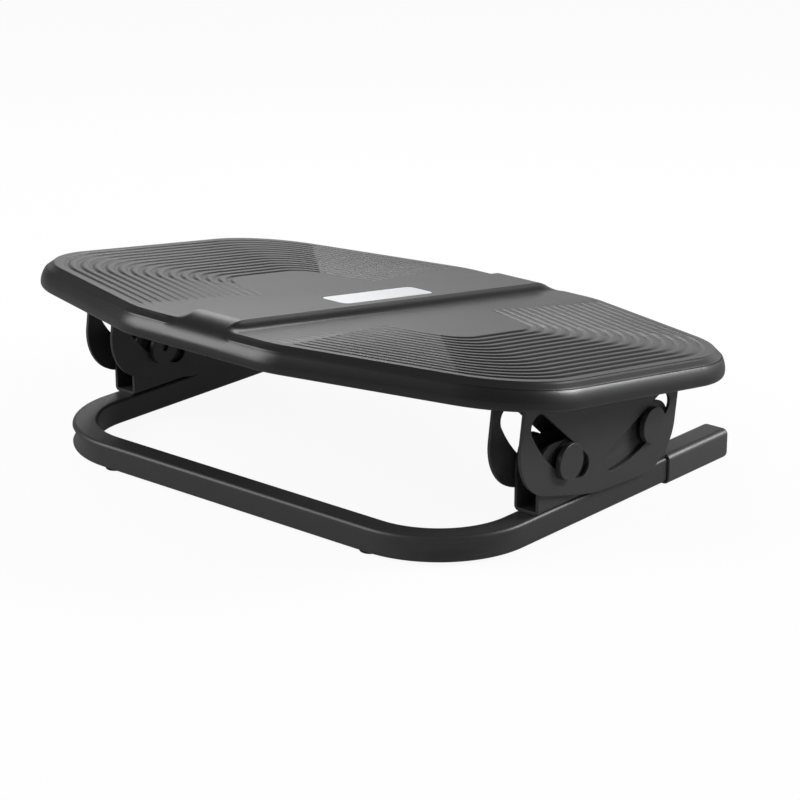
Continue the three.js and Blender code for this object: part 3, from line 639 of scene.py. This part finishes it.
def slab(half_x, half_y, radius, low, high, edge_size, steps, edge_rows=4):
    """A flat slab with a rounded outline, whose upper edge is rolled over in a quarter circle."""
    rings = [at_height(rounded_rectangle(half_x, half_y, radius, steps), low)]
    for angle in np.linspace(0, np.pi / 2, edge_rows + 1):
        inset = edge_size * (1 - np.cos(angle))
        outline = rounded_rectangle(half_x - inset, half_y - inset, radius - inset, steps)
        rings.append(at_height(outline, high - edge_size * (1 - np.sin(angle))))
    return np.array(rings)


recess_floor = band_rise - plate_recess
plate = slab(
    plate_half_width, plate_half_length, plate_corner_radius, recess_floor + glue_film,
    recess_floor + plate_thickness, plate_edge, plate_corner_steps)
nameplate = new_piece(
    "bare_nameplate", [closed(plate)], [level_face(plate[0]), level_face(plate[-1])], tray_place)
brushed_silver = finish(
    "brushed_silver", colour=(0.70, 0.71, 0.72), patch_colour=(0.78, 0.79, 0.80),
    roughness=0.34, patch_roughness=0.44, fineness=0.6, depth=0.01 * mm, metallic=0.75)
assign(nameplate, "platform", "silver", brushed_silver, "nameplate")

# Rocker brackets. Each is one sheet of steel with four arc slots punched in it, folded down on both sides of
# its web and powder coated black. Four screws hold its web to the tray.
sheet = 2.5 * mm
bracket_top = -bracket_drop
bracket_fold_radius = 5 * mm
bracket_corner_drop = 108 * mm
bracket_bottom_drop = 118.4 * mm
bracket_corner_radius = 38.5 * mm
bracket_bottom_radius = 200 * mm
bracket_steps = [0, 20, 12, 20, 0]
pin_spacing = 102 * mm
pin_spread = np.radians(64)
tilt_travel = np.radians(20)
slot_width = 19.2 * mm
screw_hole_radius = 2.3 * mm
screw_hole_steps = 16
sheet_edge = 0.35 * mm
slot_radius = pin_spacing / 2 / np.sin(pin_spread / 2)


def folded(blank, half_width, radius):
    """A flat blank bent to a U. The first coordinate runs across the web, then round each fold in a quarter
    circle, and then straight down a wall. The second runs along the piece."""
    flat = half_width - radius
    beyond = np.abs(blank[:, 0]) - flat
    angle = np.clip(beyond / radius, 0, np.pi / 2)
    straight = np.maximum(beyond - radius * np.pi / 2, 0)
    x = np.sign(blank[:, 0]) * (np.minimum(np.abs(blank[:, 0]), flat) + radius * np.sin(angle))
    return np.column_stack([x, blank[:, 1], -radius * (1 - np.cos(angle)) - straight])


def arc_slot(end, steps=32, cap_steps=14):
    """A slot round the tilt axis: an arc about the axis below, a half circle at each end, and a straight run
    above. The points are (along, height), measured from the axis."""
    angles = np.linspace(pin_spread / 2 - tilt_travel, pin_spread / 2 + tilt_travel, steps)
    turns = np.linspace(0, np.pi, cap_steps)[1:-1]
    arc = np.stack([np.sin(angles), -np.cos(angles)], axis=1)
    outer = (slot_radius + slot_width / 2) * arc
    upper_cap = swung(outer[-1], slot_radius * arc[-1], turns)
    lower_cap = swung((slot_radius - slot_width / 2) * arc[0], slot_radius * arc[0], turns)
    return np.concatenate([outer, upper_cap, lower_cap]) * (end, 1)


def sheet_piece(
        name, blanks, half_width, radius, place, crease_angle=20, soft_angle=40, level_angle=1):
    """A folded sheet: flat blanks joined at their borders, bent, given a thickness and softened edges."""
    parts = [(folded(points, half_width, radius), corners) for points, corners in blanks]
    piece = new_piece(name, [], parts, place, crease_angle)
    shape = bmesh.new()
    shape.from_mesh(piece.data)
    bmesh.ops.dissolve_limit(
        shape, angle_limit=np.radians(level_angle), verts=shape.verts, edges=shape.edges)
    shape.to_mesh(piece.data)
    shape.free()
    wall = piece.modifiers.new("wall", "SOLIDIFY")
    wall.thickness = sheet
    wall.offset = 0
    wall.use_even_offset = True
    soft = piece.modifiers.new("soft_edges", "BEVEL")
    soft.width = sheet_edge
    soft.segments = 2
    soft.limit_method = "ANGLE"
    soft.angle_limit = np.radians(soft_angle)
    graph = bpy.context.evaluated_depsgraph_get()
    made = bpy.data.meshes.new_from_object(piece.evaluated_get(graph))
    piece.modifiers.clear()
    piece.data = made
    made.name = name
    made.shade_smooth()
    made.set_sharp_from_angle(angle=np.radians(crease_angle))
    return piece


def fold_strip(inner, outer, half_length, steps=8):
    """The stretch of blank round one fold: a grid from the web's border to the wall's border."""
    across = np.linspace(inner, outer, steps + 1)
    rows = [np.column_stack([across, np.full(steps + 1, end)]) for end in (-half_length, half_length)]
    return np.concatenate(rows), grid_quads(2, steps + 1).tolist()


def folded_blank(wall_loops, half_width, radius, half_length, web_holes):
    """The whole blank: a web with its holes, a strip round each fold, and a wall with its cut-outs on each
    side. Wall loops are (along, distance below the fold)."""
    flat = half_width - radius
    border = flat + radius * np.pi / 2
    web = np.array([(-flat, -half_length), (flat, -half_length), (flat, half_length), (-flat, half_length)])
    blanks = [level_face(web, *web_holes)]
    for side in (-1, 1):
        blanks.append(fold_strip(side * flat, side * border, half_length))
        loops = [np.stack([side * (border + loop[:, 1]), loop[:, 0]], axis=1) for loop in wall_loops]
        blanks.append(level_face(*loops))
    return blanks


bracket_middle = bracket_width / 2 - sheet / 2
bracket_bend = bracket_fold_radius - sheet / 2
wall_top = bracket_top - bracket_fold_radius
bracket_corners = np.array([
    (bracket_half_length, wall_top),
    (bracket_half_length, -bracket_corner_drop),
    (0, -bracket_bottom_drop),
    (-bracket_half_length, -bracket_corner_drop),
    (-bracket_half_length, wall_top),
])
bracket_radii = [0, bracket_corner_radius, bracket_bottom_radius, bracket_corner_radius, 0]
bracket_wall = rounded_outline(bracket_corners, bracket_radii, bracket_steps)
bracket_loops = [
    np.stack([loop[:, 0], wall_top - loop[:, 1]], axis=1)
    for loop in (bracket_wall, arc_slot(-1), arc_slot(1))]
bracket_blank = folded_blank(
    bracket_loops, bracket_middle, bracket_bend, bracket_half_length,
    [circle(0, y, screw_hole_radius, screw_hole_steps) for y in screw_steps])
powder_coat = finish(
    "powder_coat", colour=(0.028, 0.028, 0.0285), patch_colour=(0.034, 0.034, 0.0345),
    roughness=0.38, patch_roughness=0.46, fineness=0.6, depth=0.05 * mm, specular=0.45)
for name, side in legs:
    bracket = sheet_piece(
        f"rocker_bracket_{name}_sheet", bracket_blank, bracket_middle, bracket_bend,
        lambda points, side=side: platform_place(points + (side * leg_middle, 0, bracket_top - sheet / 2)))
    assign(bracket, "platform", "painted_steel", powder_coat, f"rocker_bracket_{name}")

# Lower channels. Each is a sheet of steel folded to a U that is open above, and its web is welded to a leg
# of the base. Its walls have rounded upper corners and a round hole for each pin.
channel_width = 22 * mm
channel_half_length = 78.5 * mm
channel_fold_radius = 4 * mm
channel_top_radius = 16 * mm
channel_top = 14.6 * mm
channel_steps = [0, 0, 16, 16]
pin_height = 58.4 * mm
pin_hole_radius = 6.3 * mm
channel_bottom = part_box("lower_channel_right")[0].z
channel_middle = channel_width / 2 - sheet / 2
channel_bend = channel_fold_radius - sheet / 2
channel_height = pin_height + channel_top - channel_bottom
wall_height = channel_height - channel_fold_radius
channel_corners = np.array([
    (-channel_half_length, 0),
    (channel_half_length, 0),
    (channel_half_length, wall_height),
    (-channel_half_length, wall_height),
])
channel_radii = [0, 0, channel_top_radius, channel_top_radius]
channel_wall = rounded_outline(channel_corners, channel_radii, channel_steps)
hole_height = pin_height - channel_bottom - channel_fold_radius
channel_holes = [circle(end * pin_spacing / 2, hole_height, pin_hole_radius) for end in (-1, 1)]
channel_blank = folded_blank(
    [channel_wall, *channel_holes], channel_middle, channel_bend, channel_half_length, [])
for name, side in legs:
    middle = (side * leg_middle, tilt_axis[1], channel_bottom + sheet / 2)
    channel = sheet_piece(
        f"lower_channel_{name}_sheet", channel_blank, channel_middle, channel_bend,
        lambda points, middle=middle: points * (1, 1, -1) + middle)
    assign(channel, "base", "painted_steel", powder_coat, f"lower_channel_{name}")

# Base tube. One square steel tube bent to a U that lies flat, its legs to the rear. The press has dented the
# outer wall of each bend. It is powder coated with the channels.
tube_wall = 1.5 * mm
tube_corner = 3 * mm
bend_radius = 70 * mm
bend_dent = 2.4 * mm
bend_steps = 40
tube_low, tube_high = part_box("base_tube")


def tube_section(inset, corner_steps=6, wall_steps=10):
    """A rounded square as (outward, up), with extra points on its outward wall where the dent goes."""
    half = tube_side / 2 - inset
    outline = rounded_rectangle(half, half, tube_corner - inset, corner_steps)
    start = 2 * (corner_steps + 1) - 1
    wall = mix(outline[start], outline[start + 1], np.linspace(0, 1, wall_steps + 1)[1:-1, None])
    return np.concatenate([outline[:start + 1], wall, outline[start + 1:]]), half - (tube_corner - inset)


def tube_stations():
    """Places along the middle of the tube with their outward direction, and how deep the dent is there: the
    square of a sine over each bend."""
    leg_x = tube_high.x - tube_side / 2
    centre_y = tube_low.y + tube_side / 2 + bend_radius
    rows = [(-leg_x, tube_high.y, -1, 0, 0)]
    for side, start in ((-1, np.pi), (1, 1.5 * np.pi)):
        for share in np.linspace(0, 1, bend_steps + 1):
            out_x = np.cos(start + share * np.pi / 2)
            out_y = np.sin(start + share * np.pi / 2)
            x = side * (leg_x - bend_radius) + bend_radius * out_x
            dent = bend_dent * np.sin(np.pi * share) ** 2
            rows.append((x, centre_y + bend_radius * out_y, out_x, out_y, dent))
    rows.append((leg_x, tube_high.y, 1, 0, 0))
    return np.array(rows)


def tube_rows(inset):
    """The section carried along the stations. In the bends the outward wall sinks by the dent in a parabola,
    1 - (up / half of the flat wall)^2."""
    section, flat = tube_section(inset)
    stations = tube_stations()
    out, up = section.T
    on_wall = (out > tube_side / 2 - inset - hair) & (np.abs(up) < flat)
    sink = np.where(on_wall, 1 - (up / flat) ** 2, 0)
    reach = out[None, :] - stations[:, 4:5] * sink[None, :]
    x = stations[:, 0:1] + stations[:, 2:3] * reach
    y = stations[:, 1:2] + stations[:, 3:4] * reach
    z = np.broadcast_to(up + (tube_low.z + tube_high.z) / 2, x.shape)
    return closed(np.stack([x, y, z], axis=-1))


outside = tube_rows(0)
tube = new_piece("base_tube_bent", [np.concatenate([outside, tube_rows(tube_wall)[::-1], outside[:1]])])
assign(tube, "base", "painted_steel", powder_coat, "base_tube")

# Leg sleeves. Moulded plastic boots pushed over the open rear ends of the tube, with a rounded closed end.
# Their lower wall stands on the floor.
sleeve_bore = 10.3 * mm
sleeve_corner = 5 * mm
sleeve_edge = 4 * mm
sleeve_mouth = 0.6 * mm
sleeve_end_wall = 2.5 * mm
sleeve_plastic = finish(
    "sleeve_plastic", colour=(0.040, 0.040, 0.041), patch_colour=(0.048, 0.048, 0.049),
    roughness=0.36, patch_roughness=0.46, fineness=0.8, depth=0.05 * mm)


def sleeve_rings(low, high, edge_rows=12, corner_steps=10):
    """Rounded squares along the sleeve: up the bore, round the mouth, along the outside and over the end's
    edge in a quarter circle."""
    half = (high.x - low.x) / 2
    length = high.y - low.y
    rows = [
        (sleeve_bore, tube_corner, length - sleeve_end_wall), (sleeve_bore, tube_corner, 0),
        (half - sleeve_mouth, sleeve_corner - sleeve_mouth, 0), (half, sleeve_corner, sleeve_mouth)]
    for angle in np.linspace(0, np.pi / 2, edge_rows + 1):
        inset = sleeve_edge * (1 - np.cos(angle))
        rows.append((half - inset, sleeve_corner - inset, length - sleeve_edge * (1 - np.sin(angle))))
    rings = []
    for size, radius, along in rows:
        x, z = rounded_rectangle(size, size, radius, corner_steps).T
        middle = ((low.x + high.x) / 2, (low.z + high.z) / 2)
        rings.append(np.stack([x + middle[0], np.full(len(x), low.y + along), z + middle[1]], axis=1))
    return np.array(rings)


for name, _ in legs:
    rings = sleeve_rings(*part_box(f"leg_sleeve_{name}"))
    ends = [(ring, [range(len(ring))]) for ring in (rings[0], rings[-1])]
    sleeve = new_piece(f"leg_sleeve_{name}_boot", [closed(rings)], ends)
    assign(sleeve, "base", "sleeve_plastic", sleeve_plastic, f"leg_sleeve_{name}")

# Front feet. Domed rubber plugs, pressed by their stem into holes in the underside of the front bar.
foot_radius = 8 * mm
foot_flat = 6.8 * mm
foot_stem = 3 * mm
foot_dome_steps = 8
rubber = finish(
    "rubber", colour=(0.012, 0.012, 0.012), patch_colour=(0.018, 0.018, 0.018),
    roughness=0.75, patch_roughness=0.85, fineness=0.8, depth=0.05 * mm)


def revolved(profile, steps=64):
    """A profile of (radius, height) pairs carried once round the vertical axis."""
    turns = np.linspace(0, 2 * np.pi, steps + 1)
    radius, height = np.array(profile).T
    x = radius[:, None] * np.cos(turns)
    y = radius[:, None] * np.sin(turns)
    return np.stack([x, y, np.broadcast_to(height[:, None], x.shape)], axis=-1)


for name, _ in legs:
    low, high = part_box(f"front_foot_{name}")
    shoulder = tube_low.z - fit
    dome = [
        (foot_flat + (foot_radius - foot_flat) * np.sin(angle), shoulder * (1 - np.cos(angle)))
        for angle in np.linspace(0, np.pi / 2, foot_dome_steps + 1)]
    profile = [(0, 0), *dome, (foot_stem, shoulder), (foot_stem, high.z), (0, high.z)]
    middle = ((low.x + high.x) / 2, (low.y + high.y) / 2, low.z)
    foot = new_piece(f"front_foot_{name}_plug", [revolved(profile) + middle])
    assign(foot, "base", "rubber", rubber, f"front_foot_{name}")

# Pins. From outside comes a barrel nut and from inside a screw with a hex socket. Both have a round cap that
# covers the slot, and are steel with a smooth black finish.
cap_radius = 14 * mm
cap_thickness = 4 * mm
cap_edge = 0.8 * mm
cap_standoff = 0.8 * mm
shank_radius = 6 * mm
bore_radius = 4.3 * mm
screw_radius = 4 * mm
screw_reach = 18 * mm
socket_across = 6 * mm
socket_depth = 2.6 * mm
socket_mouth_share = 1.06
socket_mouth_depth = 0.25 * mm
socket_turn_steps = 60
turned_crease = 30
cap_finish = finish(
    "cap_black", colour=(0.034, 0.034, 0.035), patch_colour=(0.042, 0.042, 0.043),
    roughness=0.34, patch_roughness=0.42, fineness=1.2, depth=0.02 * mm, metallic=0.2)


def edge_arc(radius, height, size, steps=8):
    """The rolled edge of a profile: a quarter circle about its centre, from its side up to its top."""
    angles = np.linspace(0, np.pi / 2, steps + 1)
    return [(radius + size * np.cos(angle), height + size * np.sin(angle)) for angle in angles]


def socket_rings(top, across, depth):
    """A hex socket: rings whose radius is the hexagon's distance from its middle in each direction, which is
    across / 2 / cos(angle off the nearest flat's middle)."""
    turns = np.linspace(0, 2 * np.pi, socket_turn_steps + 1)
    off = (turns + np.pi / 6) % (np.pi / 3) - np.pi / 6
    radius = across / 2 / np.cos(off)
    mouth = top - socket_mouth_depth
    rings = []
    for share, height in ((socket_mouth_share, top), (1, mouth), (1, top - depth), (0, top - depth)):
        x = share * radius * np.cos(turns)
        y = share * radius * np.sin(turns)
        rings.append(np.stack([x, y, np.full(len(x), height)], axis=1))
    return np.array(rings)


def along_pin(grid, side, low, high):
    """Turns a grid from its own upright axis to the pin's, with its top away from the bracket's middle."""
    middle_y = (low.y + high.y) / 2
    middle_z = (low.z + high.z) / 2
    x = grid[..., 2] * side + np.sign(low.x) * leg_middle
    return np.stack([x, grid[..., 0] + middle_y, grid[..., 1] + middle_z], axis=-1)


cap_base = bracket_width / 2 + cap_standoff
cap_top = cap_base + cap_thickness
cap = [(cap_radius, cap_base), *edge_arc(cap_radius - cap_edge, cap_top - cap_edge, cap_edge)]
barrel_tip = -bracket_width / 2
bore_end = barrel_tip + screw_reach + fit
barrel_profile = [
    (0, bore_end), (bore_radius, bore_end), (bore_radius, barrel_tip), (shank_radius, barrel_tip),
    (shank_radius, cap_base), *cap, (0, cap_top)]
screw_tip = bracket_width / 2 - screw_reach
screw_profile = [(0, screw_tip), (screw_radius, screw_tip), (screw_radius, cap_base), *cap]
barrel_grid = revolved(barrel_profile)
screw_grid = np.concatenate([
    revolved(screw_profile, socket_turn_steps), socket_rings(cap_top, socket_across, socket_depth)])
for name, leg in legs:
    for end in ("front", "rear"):
        for kind, grid, side in (("barrel", barrel_grid, leg), ("screw", screw_grid, -leg)):
            node = f"pin_{kind}_{name}_{end}"
            pin = new_piece(
                f"{node}_turned", [along_pin(grid, side, *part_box(node))], smooth_angle=turned_crease)
            assign(pin, "base", "cap_steel", cap_finish, node)

# Slot bushes. Flanged nylon rings on the pins. Each barrel fills the width of its slot, and each flange
# keeps the bracket's wall off the channel.
flange_radius = 13 * mm
nylon = finish(
    "nylon", colour=(0.010, 0.010, 0.010), patch_colour=(0.014, 0.014, 0.014),
    roughness=0.5, patch_roughness=0.6, fineness=1.0, depth=0.03 * mm)
flange_inner = channel_width / 2 + fit
flange_outer = bracket_width / 2 - sheet - fit
bush_outer = bracket_width / 2 + fit
bush_bore = shank_radius + fit
barrel_radius = slot_width / 2 - fit
bush_profile = [
    (bush_bore, flange_inner), (flange_radius, flange_inner), (flange_radius, flange_outer),
    (barrel_radius, flange_outer), (barrel_radius, bush_outer), (bush_bore, bush_outer),
    (bush_bore, flange_inner)]
for name, leg in legs:
    for end in ("front", "rear"):
        for facing, side in (("outer", leg), ("inner", -leg)):
            node = f"slot_bush_{name}_{end}_{facing}"
            grid = along_pin(revolved(bush_profile), side, *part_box(node))
            bush = new_piece(f"{node}_turned", [grid], smooth_angle=turned_crease)
            assign(bush, "base", "nylon", nylon, node)

# Tray screws. Zinc plated pan heads with a hex socket under each web, four to a bracket, driven up into the
# bosses of the tray.
head_radius = 4 * mm
head_height = 2.6 * mm
head_edge = 1.2 * mm
tray_screw_radius = 2 * mm
tray_screw_length = 12 * mm
tray_socket = 2.5 * mm
tray_socket_depth = 1.6 * mm
zinc = finish(
    "zinc", colour=(0.45, 0.46, 0.47), patch_colour=(0.55, 0.56, 0.57),
    roughness=0.34, patch_roughness=0.46, fineness=1.0, depth=0.02 * mm, metallic=1)
head_top = bracket_top - sheet - fit
head_side = edge_arc(head_radius - head_edge, head_height - head_edge, head_edge)
tray_screw_profile = [
    (0, tray_screw_length), (tray_screw_radius, tray_screw_length), (tray_screw_radius, 0),
    (head_radius, 0), *[(radius, -height) for radius, height in head_side]]
tray_screw_grid = np.concatenate([
    revolved(tray_screw_profile, socket_turn_steps),
    socket_rings(head_height, tray_socket, tray_socket_depth) * (1, 1, -1)])
for name, leg in legs:
    for number, along in enumerate(screw_steps, start=1):
        node = f"tray_screw_{name}_{number}"
        grid = tray_screw_grid + (leg * leg_middle, along, head_top)
        screw = new_piece(f"{node}_turned", [grid], place=platform_place, smooth_angle=turned_crease)
        assign(screw, "platform", "zinc_steel", zinc, node)

# Stage. A pale floor that takes the shadow, soft lamps and a surround that the camera sees as white. In
# reflections it is white near the horizon behind the footrest, and dark overhead and on the camera's side,
# as in a studio, so that the black surfaces get their shape.
floor_size = 12
floor_colour = (0.8, 0.8, 0.8, 1)
floor_roughness = 0.9
floor_seen = 0.93
floor_mirrored = 0.9
floor_mirrored_level = 0.22
surround_colour = (1, 1, 1, 1)
surround_light = 0.4
ceiling_level = 0.06
wall_level = 0.85
wall_heights = (0.22, 0.44)
wall_depths = (0.15, 0.75)
lamp_target_height = 0.1


def ray_kinds(tree):
    """One for rays from the camera, and one for rays in reflections and through clear things."""
    path = tree.nodes.new("ShaderNodeLightPath")
    kinds = path.outputs
    mirrored = math_node(tree, "MAXIMUM", kinds["Is Glossy Ray"], kinds["Is Transmission Ray"])
    return kinds["Is Camera Ray"], mirrored


def stepped(tree, value, low, high, start, stop):
    """A smooth step of a socket: start below low and stop above high."""
    step = tree.nodes.new("ShaderNodeMapRange")
    step.interpolation_type = "SMOOTHSTEP"
    for label, number in zip(("From Min", "From Max", "To Min", "To Max"), (low, high, start, stop)):
        step.inputs[label].default_value = number
    tree.links.new(value, step.inputs["Value"])
    return step.outputs["Result"]


half_floor = floor_size / 2
floor_mesh = bpy.data.meshes.new("floor")
floor_mesh.from_pydata(
    [(-half_floor, -half_floor, 0), (half_floor, -half_floor, 0), (half_floor, half_floor, 0),
     (-half_floor, half_floor, 0)], [], [(0, 1, 2, 3)])
floor = bpy.data.objects.new("floor", floor_mesh)
bpy.context.scene.collection.objects.link(floor)
pale = bpy.data.materials.new("floor_pale")
pale.use_nodes = True
tree = pale.node_tree
shader = tree.nodes["Principled BSDF"]
shader.inputs["Base Color"].default_value = floor_colour
shader.inputs["Roughness"].default_value = floor_roughness
shader.inputs["Specular IOR Level"].default_value = 0
glow = tree.nodes.new("ShaderNodeEmission")
blend = tree.nodes.new("ShaderNodeMixShader")
seen, mirrored = ray_kinds(tree)
seen_part = math_node(tree, "MULTIPLY", seen, floor_seen)
mirrored_part = math_node(tree, "MULTIPLY", mirrored, floor_mirrored)
tree.links.new(math_node(tree, "ADD", seen_part, mirrored_part), blend.inputs["Fac"])
level = math_node(tree, "ADD", seen, math_node(tree, "MULTIPLY", mirrored, floor_mirrored_level))
tree.links.new(level, glow.inputs["Strength"])
tree.links.new(shader.outputs["BSDF"], blend.inputs[1])
tree.links.new(glow.outputs["Emission"], blend.inputs[2])
tree.links.new(blend.outputs["Shader"], tree.nodes["Material Output"].inputs["Surface"])
floor_mesh.materials.append(pale)

world = bpy.data.worlds.new("surround")
bpy.context.scene.world = world
world.use_nodes = True
tree = world.node_tree
background = tree.nodes["Background"]
background.inputs["Color"].default_value = surround_colour
direction = tree.nodes.new("ShaderNodeSeparateXYZ")
tree.links.new(tree.nodes.new("ShaderNodeTexCoord").outputs["Generated"], direction.inputs["Vector"])
seen, mirrored = ray_kinds(tree)
low_down = stepped(tree, direction.outputs["Z"], *wall_heights, wall_level, 0)
behind = stepped(tree, direction.outputs["Y"], *wall_depths, 0, 1)
wall = math_node(tree, "MAXIMUM", math_node(tree, "MULTIPLY", low_down, behind), ceiling_level)
plain = math_node(tree, "MULTIPLY", math_node(tree, "SUBTRACT", 1, mirrored), surround_light)
strength = math_node(tree, "ADD", plain, math_node(tree, "MULTIPLY", mirrored, wall))
tree.links.new(math_node(tree, "MAXIMUM", strength, seen), background.inputs["Strength"])


def soft_lamp(name, azimuth, elevation, distance, width, height, level):
    """A rectangular lamp that faces the footrest. It stands in a direction given in degrees from the front,
    over the left or right side, and up. Its level is the brightness of its face, where one is white."""
    lamp = bpy.data.objects.new(name, bpy.data.lights.new(name, "AREA"))
    lamp.data.shape = "RECTANGLE"
    lamp.data.size = width
    lamp.data.size_y = height
    lamp.data.energy = level * np.pi * width * height
    turn, rise = np.radians((azimuth, elevation))
    away = np.array((np.sin(turn) * np.cos(rise), -np.cos(turn) * np.cos(rise), np.sin(rise)))
    lamp.location = away * distance + (0, 0, lamp_target_height)
    lamp.rotation_euler = (np.pi / 2 - rise, 0, turn)
    bpy.context.scene.collection.objects.link(lamp)


soft_lamp("left_lamp", azimuth=-42, elevation=29, distance=2.0, width=1.3, height=1.3, level=5.8)
soft_lamp("right_lamp", azimuth=136, elevation=26, distance=2.0, width=0.75, height=0.65, level=23)
soft_lamp("rear_left_lamp", azimuth=-134, elevation=29, distance=1.2, width=0.5, height=0.26, level=5)
bpy.context.scene.view_settings.view_transform = "Standard"
